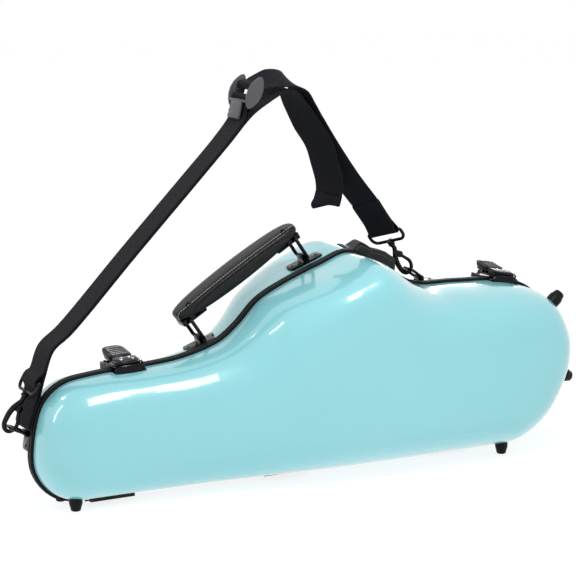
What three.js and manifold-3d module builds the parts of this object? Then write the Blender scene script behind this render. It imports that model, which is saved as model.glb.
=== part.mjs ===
// Alto saxophone case: two contoured glass-fibre shells that close on a black rim,
// standing on its straight spine. +X runs along the case towards the bow end, +Y away
// from the viewer, +Z up. The parting plane is Y = 0 and the floor is Z = 0 while the
// case is laid out; at the end it is centred on its own bounding box.
import * as THREE from 'three';
import { mergeVertices } from 'three/addons/utils/BufferGeometryUtils.js';
import Module from 'manifold-3d';

const wasm = await Module();
wasm.setup();

// Shells
const caseLength = 661;
const caseHeight = 241.4;
const spineHeight = 8;
const neckDepth = 51.5;
const bowDepth = 93;
const bellSwell = 20;
const shellWall = 3.2;
const edgeReach = 60;
const shoulderRise = 6.5;
const neckHubInset = 64;
const bowHubInset = 104;
const crestZone = 74;
const shoulderZone = 62;
const depthBlend = 51;
const faceDome = 3;

// Outline of the shell at the parting plane: shares of its length and height
const outlineShares = [
  [0.2, 0], [0.0718, 0], [0.03, 0.042], [0.0023, 0.1544], [0.0039, 0.3225],
  [0.02, 0.456], [0.0525, 0.529], [0.11, 0.556], [0.2006, 0.5687], [0.2664, 0.587],
  [0.3349, 0.6421], [0.37, 0.711], [0.4095, 0.815], [0.46, 0.885], [0.53, 0.957],
  [0.5774, 1], [0.615, 0.972], [0.674, 0.868], [0.72, 0.815], [0.8008, 0.8046],
  [0.9, 0.785], [0.96, 0.723], [0.9961, 0.5593], [1, 0.4266], [0.9882, 0.3003],
  [0.95, 0.128], [0.9036, 0.0337], [0.8662, 0], [0.75, 0],
];
const depthCentreShare = 0.391;
const crestCentreShare = 0.518;
const shoulderCentreShare = 0.585;
const spineEdgePower = 2.5;
const topEdgePower = 2.85;
const crestEdgePower = 1.4;

// Rim
const rimHalf = 4.6;
const rimProud = 3.5;
const rimSpineProud = 0.9;
const rimChamfer = 1.1;
const rimLipReach = 3;
const rimLipWall = 1.8;
const rimBlend = 14;
const gap = 0.3;

// Liners
const linerWall = 13;
const linerFloor = 14;
const linerClearance = 0.4;
const linerSetback = 1;
const blockFront = 9;
const dividerWidth = 16;
const dividerShare = 0.185;
const cradleWidth = 26;
const cradleShare = 0.36;
const cradleRadius = 22;

// Feet
const footRadius = 7.4;
const footTipRadius = 5.6;
const footTipRound = 1.4;
const footStand = 11;
const footSink = 10;
const footShoulderShare = 0.75;
const bowFootDepth = 46;
const neckFootDepth = 21;
const neckFootShare = 0.061;
const bowFootShare = 0.863;
const endTopShare = 0.7;
const endLowShare = 0.325;

// Hinges on the spine
const hingeShares = [0.13, 0.45, 0.78];
const hingeLength = 52;
const hingeReach = 16;
const hingeLeaf = 1.7;
const barrelRadius = 2.5;
const barrelClear = 3;
const barrelCentreLength = 20;
const hingePinRadius = 1.2;
const hingeAxisHeight = 4.4;

// Plates, bridges and rivets
const plateRoot = 6;
const rivetRadius = 1.8;
const rivetHeight = 1.1;
const rivetSink = 0.2;
const rivetCrownShare = 0.6;
const rivetShare = 0.38;

// Carrying handle
const plateLength = 42;
const plateWidth = 18;
const plateThickness = 2.2;
const plateSetback = 21;
const bridgeLength = 13;
const bridgeWall = 1.8;
const ringAxisHeight = 6.5;
const ringRod = 2.1;
const ringSpan = 27;
const ringPitch = 29;
const ringCorner = 4.5;
const leftPlateShare = 0.31996974281;
const rightPlateShare = 0.51891074130;
const ringLean = 35;
const gripWidth = 35;
const gripEndWidth = 30;
const gripThickness = 16;
const gripEndThickness = 8.5;
const gripOverhang = 10;
const gripBelly = 1;
const gripEndPower = 3.4;
const gripSquareness = 0.5;
const coreThickness = 2;
const coreWidth = 17.5;
const coreBlock = 17;
const coreLength = 24;

// Grab pad behind the crest
const padStartShare = 0.59077155825;
const padEndShare = 0.68305597579;
const padWidth = 27;
const padThickness = 13.5;
const padNear = 6.5;
const padRoot = 8;
const padTabLength = 7;
const padTabThickness = 2.4;
const padBevel = 9;
const padSeam = 1;
const padSeamShare = 0.47;

// Draw latches
const latchShares = [0.16565809380, 0.89636913767];
const latchNames = ['left', 'right'];
const catchWidth = 36;
const catchDepth = 10.6;
const catchHeight = 8.5;
const catchNear = 5.4;
const keeperWall = 2;
const ridgeSetback = 2.2;
const ridgeWall = 1.8;
const ridgeShare = 0.66;
const latchBaseWidth = 27;
const latchBaseLength = 33;
const latchBaseThickness = 2;
const latchBaseNear = 6;
const baseRivet = 9;
const lugWidth = 10;
const lugRadius = 3.2;
const leverPivotDepth = 9.5;
const leverPivotHeight = 8.6;
const leverWidth = 27;
const leverWall = 1.6;
const leverNose = 2.9;
const leverReach = 28;
const leverRise = 5;
const leverRisePower = 1.6;
const leverCorner = 9;
const leverRibs = 5;
const leverRibStart = 0.12;
const leverRibEnd = 0.82;
const leverRibHeight = 0.9;
const cheekEye = 2.2;
const latchPinRadius = 1.3;
const clawPivotOffset = 10;
const clawPivotHeight = 5.2;
const clawArmWidth = 2.2;
const clawArmHeight = 2.2;
const clawEyeWall = 1;
const clawBar = 2.4;
const clawSlack = 1;
const armGap = 0.6;
const coverDepth = 17;
const coverRivet = 5;

// Strap brackets and their rings
const bracketLength = 38;
const bracketWidth = 17;
const bracketThickness = 2;
const bracketBridge = 11;
const bracketWall = 1.6;
const deeAxisHeight = 4.4;
const deeRod = 1.7;
const deeWidth = 22;
const deeReach = 20;
const deeCorner = 6;
const padToBracket = 42;
const leftBracketShare = 0.31068765534;
const bracketSetback = 18;
const leftBracketSetback = 14;
const leftDeeLean = 15;
const rightDeeLean = -55;

// Snap hooks and their swivelling eyes
const hookLength = 31;
const hookBowl = 9.4;
const hookRod = 2.6;
const hookTipAngle = 35;
const hookNeckShares = [
  [1, 0.13], [0.95, 0.29], [0.7, 0.52], [0.3, 0.7], [0, 0.84], [0, 1],
];
const hookGateRod = 1.5;
const gateX = 0.9;
const gateZ = 17;
const gateRadius = 2.2;
const gateEye = 3;
const gatePin = 1;
const earRadius = 4.6;
const earWall = 1.4;
const swivelStem = 1.9;
const swivelLoopRod = 1.9;
const collarRadius = 4;
const collarHeight = 7;
const eyeSlack = 2.2;
const eyeHeight = 14;
const eyeCorner = 3;
const leftHookLean = 29;
const rightHookLean = -35.4;
const rightEyeTurn = 28;

// Strap: places as shares of the case length and of the strap's peak, with its twist
const webWidth = 38;
const webThickness = 1.8;
const strapPeak = 456;
const strapMiddle = 20;
const hemLength = 12;
const sewnLength = 42;
const legShares = [
  [-0.4584, 0.3761, 0, 0], [-0.4251, 0.4151, 0, 0], [-0.3116, 0.5833, 0, 0],
  [-0.1906, 0.7599, 0, 0], [-0.1393, 0.8355, 0, 0], [-0.095, 0.902, 0, 0],
  [-0.059, 0.9353, 0, 0], [-0.0386, 0.9539, 0, 0.15], [-0.0203, 0.9559, 0.3, 0.2],
  [-0.0015, 0.9175, 0.7, 0.1], [0.0224, 0.8634, 1, 0], [0.0445, 0.816, 1, 0],
  [0.0555, 0.77, 1, 0], [0.065, 0.72, 1, 0], [0.0645, 0.684, 1, 0],
  [0.0605, 0.6625, 1, 0],
];
const legKeys = 5;
const leadShares = [
  [-0.0745, 0.972, 0, 0.25], [-0.0439, 0.982, 0, 0.5], [-0.0182, 0.978, 0.1, 0.5],
  [0.0025, 0.9523, 0.5, 0.3], [0.0156, 0.909, 0.85, 0.1], [0.0302, 0.8684, 1, 0],
  [0.0946, 0.733, 1, 0], [0.1392, 0.6535, 1, 0],
];
const leftLoopShares = [
  [1.6, 2.6], [0, 1.5], [-1, 0], [-0.7, -1.5], [-0.25, -2.9], [-0.6, -4.6], [-1.15, -6.6],
  [-2.5, -10.5], [-3.45, -13.6], [-3.1, -15], [-2.7, -13.6], [-2.25, -11.6],
  [-1.1, -8.5], [0.25, -5.2], [0.95, -2.7], [2.1, 1.2],
];
const buckleLoopShares = [
  [-2.6, -6.6], [-1.65, -4.6], [-1.1, -1.4], [-0.75, 0.75], [0, 1.05], [0.8, 0.75],
  [1.1, -0.2], [0.75, -1.8], [-0.85, -4.6],
];
const buckleWidth = 44.5;
const buckleShares = [-0.09455370651, 0.95394736842];
const buckleLean = 27;
const buckleLong = 38;
const buckleDeep = 18;
const buckleCheek = 2.4;
const buckleBar = 2.2;
const buckleBarSpacing = 15;
const tabBar = 1.6;
const tabBarX = -5;
const tabBarZ = -12.6;
const tabWidth = 25;
const tabWall = 2;
const tabLong = 20;
const tabSlant = 4;
const tabRibs = 4;
const tabRib = 0.9;

// Mesh fineness
const ribCount = 28;
const neckFan = 9;
const bowFan = 13;
const skinRings = 7;
const linerRings = 3;
const roundSides = 12;
const smallSides = 8;
const footSides = 14;
const cornerSteps = 3;
const gripSteps = 18;
const gripSides = 14;
const padSteps = 12;
const lugSides = 6;
const leverSteps = 24;
const bowlSteps = 6;
const hookSteps = 18;
const webSteps = 2;
const leafSides = 16;
const leafPinch = 0.35;
const traceSteps = 700;

const shellGloss = { color: 0x96dae2, roughness: 0.12, metalness: 0 };
const rubberBlack = { color: 0x17181a, roughness: 0.6, metalness: 0 };
const nickelBlack = { color: 0x4a4a4d, roughness: 0.25, metalness: 0.9 };
const leatherBlack = { color: 0x1e1e22, roughness: 0.55, metalness: 0 };
const webBlack = { color: 0x1b1b1e, roughness: 0.85, metalness: 0 };
const plushGrey = { color: 0x3a3b40, roughness: 0.95, metalness: 0 };
const plasticGrey = { color: 0x6b6a70, roughness: 0.5, metalness: 0 };

const model = new THREE.Group();
const radians = THREE.MathUtils.degToRad;

function addPart(name, geometry, finish, placement) {
  const mesh = new THREE.Mesh(geometry, new THREE.MeshStandardMaterial(finish));
  mesh.name = name;
  if (placement) mesh.applyMatrix4(placement);
  model.add(mesh);
  return mesh;
}

// Boolean helpers: closed geometry to solid and back
function bare(geometry) {
  const copy = geometry.clone();
  copy.deleteAttribute('normal');
  copy.deleteAttribute('uv');
  return mergeVertices(copy);
}

function solid(geometry, placement) {
  const merged = bare(geometry);
  if (placement) merged.applyMatrix4(placement);
  return new wasm.Manifold(new wasm.Mesh({
    numProp: 3,
    vertProperties: new Float32Array(merged.attributes.position.array),
    triVerts: new Uint32Array(merged.index.array),
  }));
}

function geometryOf(body) {
  const mesh = body.getMesh();
  const geometry = new THREE.BufferGeometry();
  geometry.setAttribute('position', new THREE.BufferAttribute(mesh.vertProperties, 3));
  geometry.setIndex(new THREE.BufferAttribute(mesh.triVerts, 1));
  return geometry;
}

function joined(bodies) {
  return bodies.slice(1).reduce((sum, body) => sum.add(body), bodies[0]);
}

function box(sizeX, sizeY, sizeZ, x, y, z) {
  return new THREE.BoxGeometry(sizeX, sizeY, sizeZ).translate(x, y, z);
}

// A round bar along Y, centred on x, z
function barAlongY(radius, length, x, z, sides = roundSides, y = 0) {
  return new THREE.CylinderGeometry(radius, radius, length, sides).translate(x, y, z);
}

function barAlongX(radius, length, x, y, z, sides = roundSides) {
  return new THREE.CylinderGeometry(radius, radius, length, sides)
    .rotateZ(Math.PI / 2).translate(x, y, z);
}

// Places along and up the case, from their shares of its length and height
const alongCase = (share) => (share - 0.5) * caseLength;
const upCase = (share) => spineHeight + share * caseHeight;

// The outline, traced finely
const outlinePoints = outlineShares.map(([along, up]) => new THREE.Vector3(
  alongCase(along), spineHeight + up * caseHeight, 0));
const outlineCurve = new THREE.CatmullRomCurve3(outlinePoints, false, 'centripetal');
const trace = outlineCurve.getSpacedPoints(traceSteps).map((point) => new THREE.Vector2(
  point.x, Math.max(point.y, spineHeight)));
let neckTip = 0;
let bowTip = 0;
trace.forEach((point, index) => {
  if (point.x < trace[neckTip].x) neckTip = index;
  if (point.x > trace[bowTip].x) bowTip = index;
});

function traceAt(position) {
  const index = Math.min(Math.floor(position), trace.length - 2);
  return trace[index].clone().lerp(trace[index + 1], position - index);
}

// Position along the trace where one coordinate passes a value
function positionWhere(axis, value, from, to) {
  for (let i = Math.floor(from); i < Math.floor(to); i += 1) {
    const here = trace[i][axis] - value;
    const next = trace[i + 1][axis] - value;
    if (here === 0 || here * next < 0) return i + here / (here - next);
  }
  return to;
}

const neckHubX = trace[neckTip].x + neckHubInset;
const bowHubX = trace[bowTip].x - bowHubInset;
const topPositionAt = (x) => positionWhere('x', x, neckTip, bowTip);

function hubAt(x) {
  const clamped = THREE.MathUtils.clamp(x, neckHubX, bowHubX);
  const top = traceAt(topPositionAt(clamped)).y;
  return new THREE.Vector2(clamped, (top + spineHeight) / 2);
}

// A rim spot: its point, inward normal, hub and how far it faces upwards
function spotAt(position) {
  const point = traceAt(position);
  const ahead = traceAt(Math.min(position + 1, trace.length - 1));
  const behind = traceAt(Math.max(position - 1, 0));
  const along = ahead.sub(behind).normalize();
  const inward = new THREE.Vector2(along.y, -along.x);
  return spotFrom(point, inward);
}

function spotFrom(point, inward) {
  const hub = hubAt(point.x);
  const toHub = hub.clone().sub(point);
  const reach = toHub.length();
  const across = Math.max(toHub.dot(inward), reach / 2);
  return { point, inward, hub, toHub, across, upness: (1 - inward.y) / 2 };
}

const topSpot = (x) => spotAt(topPositionAt(x));
const spineSpot = (x) => spotFrom(
  new THREE.Vector2(x, spineHeight), new THREE.Vector2(0, 1));
const neckSpot = (z) => spotAt(positionWhere('y', z, 0, neckTip + traceSteps / 10));
const bowSpot = (z) => spotAt(positionWhere('y', z, topPositionAt(bowHubX), trace.length - 1));

// The ring of rim stations: neck fan, top ribs, bow fan, spine ribs
function makeStations() {
  const stations = [];
  const ribX = (i) => neckHubX + (bowHubX - neckHubX) * i / ribCount;
  const neckLow = positionWhere('x', neckHubX, 0, neckTip);
  const neckHigh = topPositionAt(neckHubX);
  for (let i = 0; i <= neckFan; i += 1) {
    stations.push({ ...spotAt(neckLow + (neckHigh - neckLow) * i / neckFan), hubIndex: 0 });
  }
  for (let i = 1; i < ribCount; i += 1) {
    stations.push({ ...topSpot(ribX(i)), hubIndex: i });
  }
  const bowHigh = topPositionAt(bowHubX);
  const bowLow = positionWhere('x', bowHubX, bowTip, trace.length - 1);
  for (let i = 0; i <= bowFan; i += 1) {
    stations.push({ ...spotAt(bowHigh + (bowLow - bowHigh) * i / bowFan), hubIndex: ribCount });
  }
  for (let i = ribCount - 1; i > 0; i -= 1) {
    stations.push({ ...spineSpot(ribX(i)), hubIndex: i });
  }
  return stations;
}
const stations = makeStations();
const bell = (x, centreShare, width) => {
  const away = (x - alongCase(centreShare)) / width;
  return Math.exp(-away * away);
};

// Depth of a shell from the parting plane, over x and how near the top edge it is
function depthAt(x, upness) {
  const blend = 1 / (1 + Math.exp(-(x - alongCase(depthCentreShare)) / depthBlend));
  const swell = bellSwell * bell(x, crestCentreShare, crestZone) * upness;
  return neckDepth + (bowDepth - neckDepth) * blend + swell;
}

// Section of the skin at a spot: depth share and edge share to a point in space
function skinPoint(spot, side, inset, depthShare, less) {
  const lift = bell(spot.point.x, crestCentreShare, crestZone) * spot.upness;
  const power = spineEdgePower + (topEdgePower - spineEdgePower) * spot.upness
    + crestEdgePower * lift;
  const edge = (1 - depthShare ** power) ** (1 / power);
  const across = spot.across - inset;
  const reach = Math.min(edgeReach, across * 0.9);
  const rise = side > 0 ? shoulderRise * spot.upness ** 4
    * bell(spot.point.x, shoulderCentreShare, shoulderZone)
    * (1 - (1 - depthShare) ** 3) * Math.sqrt(edge) : 0;
  const slide = (inset + reach * (1 - edge) - rise) / spot.across;
  const place = spot.point.clone().addScaledVector(spot.toHub, slide);
  const nearTop = THREE.MathUtils.lerp(spot.upness, 0.5, Math.max(slide, 0));
  const depth = (depthAt(spot.hub.x, nearTop) - less) * depthShare;
  return new THREE.Vector3(place.x, side * depth, place.y);
}

// Depth share at which the skin lies a given distance behind the parting plane
const shareAt = (spot, setback, less) => setback / (depthAt(spot.hub.x, spot.upness) - less);

function skinGrid(side, inset, less, setback, rings) {
  const grid = [];
  for (let ring = 0; ring <= rings; ring += 1) {
    const turn = Math.sin(ring / rings * Math.PI / 2);
    grid.push(stations.map((spot) => {
      const start = shareAt(spot, setback, less);
      return skinPoint(spot, side, inset, start + (1 - start) * turn, less);
    }));
  }
  const hubs = [];
  for (let i = 0; i <= ribCount; i += 1) {
    const hub = stations.find((spot) => spot.hubIndex === i).hub;
    const depth = depthAt(hub.x, 0.5) - less + faceDome;
    hubs.push(new THREE.Vector3(hub.x, side * depth, hub.y));
  }
  return { grid, hubs };
}

function meshFrom(vertices, faces, side) {
  const geometry = new THREE.BufferGeometry();
  geometry.setAttribute('position', new THREE.Float32BufferAttribute(
    vertices.flatMap((v) => [v.x, v.y, v.z]), 3));
  geometry.setIndex(faces.filter(([a, b, c]) => a !== b && b !== c && c !== a)
    .flatMap(([a, b, c]) => (side > 0 ? [a, b, c] : [a, c, b])));
  return geometry;
}

// Faces of one skin: quads between rings, then the last ring to its hub line
function skinFaces(skin, vertices, outward) {
  const count = stations.length;
  const first = vertices.length;
  skin.grid.forEach((ring) => vertices.push(...ring));
  const hubStart = vertices.length;
  vertices.push(...skin.hubs);
  const faces = [];
  const quad = (a, b, c, d) => {
    if (outward) faces.push([a, b, c], [a, c, d]);
    else faces.push([a, c, b], [a, d, c]);
  };
  for (let ring = 0; ring < skin.grid.length; ring += 1) {
    const here = first + ring * count;
    for (let j = 0; j < count; j += 1) {
      const k = (j + 1) % count;
      if (ring < skin.grid.length - 1) {
        quad(here + j, here + k, here + count + k, here + count + j);
      } else {
        const hubJ = hubStart + stations[j].hubIndex;
        const hubK = hubStart + stations[k].hubIndex;
        quad(here + j, here + k, hubK, hubJ);
      }
    }
  }
  return { faces, first };
}

function skinBetween(outer, inner, side) {
  const count = stations.length;
  const vertices = [];
  const out = skinFaces(outer, vertices, true);
  const back = skinFaces(inner, vertices, false);
  const faces = [...out.faces, ...back.faces];
  for (let j = 0; j < count; j += 1) {
    const k = (j + 1) % count;
    faces.push([out.first + j, back.first + k, out.first + k]);
    faces.push([out.first + j, back.first + j, back.first + k]);
  }
  return meshFrom(vertices, faces, side);
}

// A filled form of a shell, closed by a flat face at its setback
function filledSkin(side, inset, less, setback, rings) {
  const skin = skinGrid(side, inset, less, setback, rings);
  const vertices = [];
  const out = skinFaces(skin, vertices, true);
  const lineStart = vertices.length;
  skin.hubs.forEach((hub) => vertices.push(new THREE.Vector3(hub.x, side * setback, hub.z)));
  const faces = out.faces;
  stations.forEach((spot, j) => {
    const k = (j + 1) % stations.length;
    const hubJ = lineStart + spot.hubIndex;
    const hubK = lineStart + stations[k].hubIndex;
    faces.push([out.first + j, hubK, out.first + k]);
    faces.push([out.first + j, hubJ, hubK]);
  });
  return solid(meshFrom(vertices, faces, side));
}

// Rim bead: a section carried round the outline; r is outwards, y away from the plane
function rimBead(side, section) {
  const vertices = [];
  const faces = [];
  stations.forEach((spot) => {
    const flat = spot.inward.y > 0.999
      ? THREE.MathUtils.smoothstep(spot.point.x, neckHubX - rimBlend * 2, neckHubX - rimBlend)
      : 0;
    const proud = THREE.MathUtils.lerp(rimProud, rimSpineProud, flat);
    section(proud).forEach(([r, y]) => vertices.push(new THREE.Vector3(
      spot.point.x - spot.inward.x * r, side * y, spot.point.y - spot.inward.y * r)));
  });
  const sides = section(rimProud).length;
  const count = stations.length;
  for (let j = 0; j < count; j += 1) {
    for (let i = 0; i < sides; i += 1) {
      const a = j * sides + i;
      const b = j * sides + (i + 1) % sides;
      const c = ((j + 1) % count) * sides + (i + 1) % sides;
      const d = ((j + 1) % count) * sides + i;
      faces.push([a, c, b], [a, d, c]);
    }
  }
  return meshFrom(vertices, faces, side);
}
const seamHalf = gap / 2;
const lipOuter = shellWall + gap;
const lipInner = lipOuter + rimLipWall;
const backRimSection = (proud) => {
  const chamfer = Math.min(rimChamfer, proud / 2);
  return [
    [proud - chamfer, seamHalf], [proud, seamHalf + chamfer], [proud, rimHalf - chamfer],
    [proud - chamfer, rimHalf], [-lipInner, rimHalf], [-lipInner, -rimLipReach],
    [-lipOuter, -rimLipReach], [-lipOuter, seamHalf],
  ];
};
const frontRimSection = (proud) => {
  const chamfer = Math.min(rimChamfer, proud / 2);
  return [
    [proud - chamfer, seamHalf], [proud, seamHalf + chamfer], [proud, rimHalf - chamfer],
    [proud - chamfer, rimHalf], [-shellWall, rimHalf], [-shellWall, seamHalf],
  ];
};


// Shell forms grown by the gap, for seating hardware on them
const blanks = {
  back: filledSkin(1, -gap, -gap, 0, skinRings), front: filledSkin(-1, -gap, -gap, 0, skinRings),
};
const shellSetback = rimHalf + gap;
for (const [name, side] of [['back', 1], ['front', -1]]) {
  const outer = skinGrid(side, 0, 0, shellSetback, skinRings);
  const inner = skinGrid(side, shellWall, shellWall, shellSetback, linerRings);
  addPart(`${name}_shell`, skinBetween(outer, inner, side), shellGloss);
  addPart(`${name}_rim`, rimBead(side, name === 'back' ? backRimSection : frontRimSection),
    rubberBlack);
}

// Moulded liners: the outside follows the shell, the recess follows the instrument
const linerInset = shellWall + linerClearance;
function linerBody(side) {
  const start = shellSetback + linerSetback;
  const outer = skinGrid(side, linerInset, linerInset, start, linerRings);
  const recess = skinGrid(side, linerWall, linerFloor, start, linerRings);
  return solid(skinBetween(outer, recess, side));
}
for (const [name, side] of [['back', 1], ['front', -1]]) {
  addPart(`${name}_liner`, geometryOf(linerBody(side)), plushGrey);
}

// Seating and shaping helpers
const seated = (body, side) => body.subtract(blanks[side > 0 ? 'back' : 'front']);
const acrossY = new THREE.Vector3(0, 1, 0);

// A frame on the rim: x along the outline, y to the back, z outwards
function frameAt(spot, y, lift) {
  const out = new THREE.Vector3(-spot.inward.x, 0, -spot.inward.y);
  const along = acrossY.clone().cross(out);
  const origin = new THREE.Vector3(spot.point.x, y, spot.point.y).addScaledVector(out, lift);
  return new THREE.Matrix4().makeBasis(along, acrossY, out).setPosition(origin);
}

// How far the wall stands outside the rim line at a distance from the parting plane
function wallLift(spot, side, y) {
  const place = skinPoint(spot, side, 0, shareAt(spot, y, 0), 0);
  return -(place.x - spot.point.x) * spot.inward.x - (place.z - spot.point.y) * spot.inward.y;
}

// Outline points (x, z) extruded along Y, and (y, z) extruded along X
function profileAlongY(points, from, to) {
  const shape = new THREE.Shape(points.map(([x, z]) => new THREE.Vector2(x, z)));
  return new THREE.ExtrudeGeometry(shape, { depth: to - from, bevelEnabled: false })
    .rotateX(Math.PI / 2).translate(0, to, 0);
}

function profileAlongX(points, from, to) {
  const shape = new THREE.Shape(points.map(([y, z]) => new THREE.Vector2(y, z)));
  const turn = new THREE.Matrix4().makeBasis(
    acrossY, new THREE.Vector3(0, 0, 1), new THREE.Vector3(1, 0, 0));
  return new THREE.ExtrudeGeometry(shape, { depth: to - from, bevelEnabled: false })
    .applyMatrix4(turn).translate(from, 0, 0);
}

// A flat slab with rounded corners seen from above
function slab(sizeX, sizeY, corner, bottom, top, x = 0, y = 0) {
  const shape = new THREE.Shape();
  const w = sizeX / 2 - corner;
  const h = sizeY / 2 - corner;
  shape.absarc(w, h, corner, 0, Math.PI / 2, false);
  shape.absarc(-w, h, corner, Math.PI / 2, Math.PI, false);
  shape.absarc(-w, -h, corner, Math.PI, Math.PI * 1.5, false);
  shape.absarc(w, -h, corner, Math.PI * 1.5, Math.PI * 2, false);
  return new THREE.ExtrudeGeometry(shape, {
    depth: top - bottom, bevelEnabled: false, curveSegments: cornerSteps,
  }).translate(x, y, bottom);
}

function roundSection(radius, sides) {
  return Array.from({ length: sides }, (_, i) => {
    const turn = (i + 0.5) / sides * Math.PI * 2;
    return [Math.cos(turn) * radius, Math.sin(turn) * radius];
  });
}

function flatSection(width, thickness) {
  const w = width / 2;
  const t = thickness / 2;
  return [[-w, -t], [w, -t], [w, t], [-w, t]];
}

// A closed section carried along a path; the across vectors say which way it is wide
function sweep(path, across, section, closed) {
  const vertices = [];
  const faces = [];
  const count = path.length;
  const sides = section.length;
  path.forEach((point, i) => {
    const next = path[closed ? (i + 1) % count : Math.min(i + 1, count - 1)];
    const last = path[closed ? (i + count - 1) % count : Math.max(i - 1, 0)];
    const along = next.clone().sub(last).normalize();
    const wide = across[Math.min(i, across.length - 1)].clone();
    wide.addScaledVector(along, -wide.dot(along)).normalize();
    const thick = along.clone().cross(wide);
    section.forEach(([a, b]) => vertices.push(
      point.clone().addScaledVector(wide, a).addScaledVector(thick, b)));
  });
  for (let i = 0; i < (closed ? count : count - 1); i += 1) {
    for (let s = 0; s < sides; s += 1) {
      const a = i * sides + s;
      const b = i * sides + (s + 1) % sides;
      const c = ((i + 1) % count) * sides + (s + 1) % sides;
      const d = ((i + 1) % count) * sides + s;
      faces.push([a, b, c], [a, c, d]);
    }
  }
  for (let s = 1; s < sides - 1 && !closed; s += 1) {
    const end = (count - 1) * sides;
    faces.push([0, s + 1, s], [end, end + s, end + s + 1]);
  }
  return meshFrom(vertices, faces, 1);
}

// Rounded rectangle in the local YZ plane, standing on the Y axis
function loopPath(width, height, corner) {
  const path = [];
  const centres = [
    [width / 2 - corner, height - corner, 0], [-width / 2 + corner, height - corner, 1],
    [-width / 2 + corner, corner, 2], [width / 2 - corner, corner, 3],
  ];
  centres.forEach(([y, z, quarter]) => {
    for (let i = 0; i <= cornerSteps; i += 1) {
      const turn = (quarter + i / cornerSteps) * Math.PI / 2;
      path.push(new THREE.Vector3(
        0, y + Math.cos(turn) * corner, z + Math.sin(turn) * corner));
    }
  });
  return path;
}
const acrossX = [new THREE.Vector3(1, 0, 0)];
const roundLoop = (width, height, corner, rod) => sweep(
  loopPath(width, height, corner), acrossX, roundSection(rod, smallSides), true);

// Place at a point, leaning in the XZ plane from straight up towards +X
const leanAt = (point, lean) => new THREE.Matrix4().makeRotationY(lean).setPosition(point);
const along = (lean, reach) => new THREE.Vector3(
  Math.sin(lean) * reach, 0, Math.cos(lean) * reach);
const localPoint = (frame, x, y, z) => new THREE.Vector3(x, y, z).applyMatrix4(frame);

// Round-headed rivets standing on a face
function rivets(spots, radius, height, base) {
  return spots.map(([x, y]) => solid(new THREE.CylinderGeometry(
    radius * rivetCrownShare, radius, height, smallSides).rotateX(Math.PI / 2)
    .translate(x, y, base + height / 2 - rivetSink)));
}

// Padding blocks inside the back liner: cut to the recess
function recessFill(side) {
  return filledSkin(
    side, linerWall + gap, linerFloor + gap, shellSetback + linerSetback, linerRings);
}
const recess = recessFill(1);
function block(share, width, cut) {
  const x = alongCase(share);
  const body = recess.intersect(solid(
    box(width, caseHeight, caseHeight * 2, x, blockFront + caseHeight / 2, caseHeight / 2)));
  return geometryOf(cut ? body.subtract(cut(x)) : body);
}
addPart('accessory_divider', block(dividerShare, dividerWidth), plushGrey);
const cradleCut = (x) => {
  const hub = hubAt(x);
  return solid(barAlongX(cradleRadius, cradleWidth * 2, x, blockFront, hub.y, roundSides * 2));
};
addPart('neck_cradle', block(cradleShare, cradleWidth, cradleCut), plushGrey);

// Feet: turned rubber buttons whose tops follow the shell
function footSolid(length, sink) {
  const profile = [
    [0, 0], [footTipRadius - footTipRound, 0], [footTipRadius, footTipRound],
    [footRadius, length * footShoulderShare], [footRadius, length + sink],
    [0, length + sink],
  ].map(([r, z]) => new THREE.Vector2(r, z));
  return new THREE.LatheGeometry(profile, footSides).rotateX(Math.PI / 2);
}
const footPlaces = [
  ['neck', spineSpot(alongCase(neckFootShare)), neckFootDepth],
  ['bow', spineSpot(alongCase(bowFootShare)), bowFootDepth],
  ['end_top', bowSpot(upCase(endTopShare)), bowFootDepth],
  ['end_low', bowSpot(upCase(endLowShare)), bowFootDepth],
];
for (const [sideName, side] of [['back', 1], ['front', -1]]) {
  footPlaces.forEach(([name, spot, depth], index) => {
    const onSpine = index < 2;
    const tip = onSpine ? spineHeight : wallLift(spot, side, depth) + footStand;
    const frame = frameAt(spot, side * depth, tip);
    const foot = solid(footSolid(footStand, footSink).rotateX(Math.PI), frame);
    addPart(`foot_${name}_${sideName}`, geometryOf(seated(foot, side)), rubberBlack);
  });
}

// Hinges along the spine
const kneeHeight = spineHeight - rimSpineProud - gap;
const leafBottom = kneeHeight - hingeLeaf;
function hingeLeafBody(x, side, knuckles) {
  const leaf = solid(box(hingeLength, hingeReach - barrelClear, spineHeight - leafBottom + gap,
    x, (hingeReach + barrelClear) / 2, (spineHeight + leafBottom + gap) / 2));
  const under = solid(box(hingeLength + gap, shellSetback * 2, spineHeight,
    x, 0, kneeHeight + spineHeight / 2));
  const tabs = knuckles.map(([from, to]) => solid(
    box(to - from, barrelClear * 2, hingeLeaf, x + (from + to) / 2, barrelClear,
      leafBottom + hingeLeaf / 2)));
  const barrels = knuckles.map(([from, to]) => solid(
    barAlongX(barrelRadius, to - from, x + (from + to) / 2, 0, hingeAxisHeight)));
  const bore = solid(barAlongX(hingePinRadius + gap, hingeLength * 2, x, 0, hingeAxisHeight));
  const body = joined([leaf.subtract(under), ...tabs, ...barrels]).subtract(bore);
  const turned = side > 0 ? body : body.mirror([0, 1, 0]);
  return geometryOf(seated(turned, side));
}
const knuckleEdge = barrelCentreLength / 2;
hingeShares.forEach((share, i) => {
  const x = alongCase(share);
  const outerKnuckles = [
    [-hingeLength / 2, -knuckleEdge - gap], [knuckleEdge + gap, hingeLength / 2]];
  addPart(`hinge_leaf_back_${i + 1}`, hingeLeafBody(x, 1, outerKnuckles), nickelBlack);
  addPart(`hinge_leaf_front_${i + 1}`, hingeLeafBody(x, -1, [[-knuckleEdge, knuckleEdge]]),
    nickelBlack);
  addPart(`hinge_pin_${i + 1}`, barAlongX(hingePinRadius, hingeLength, x, 0, hingeAxisHeight),
    nickelBlack);
});

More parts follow.
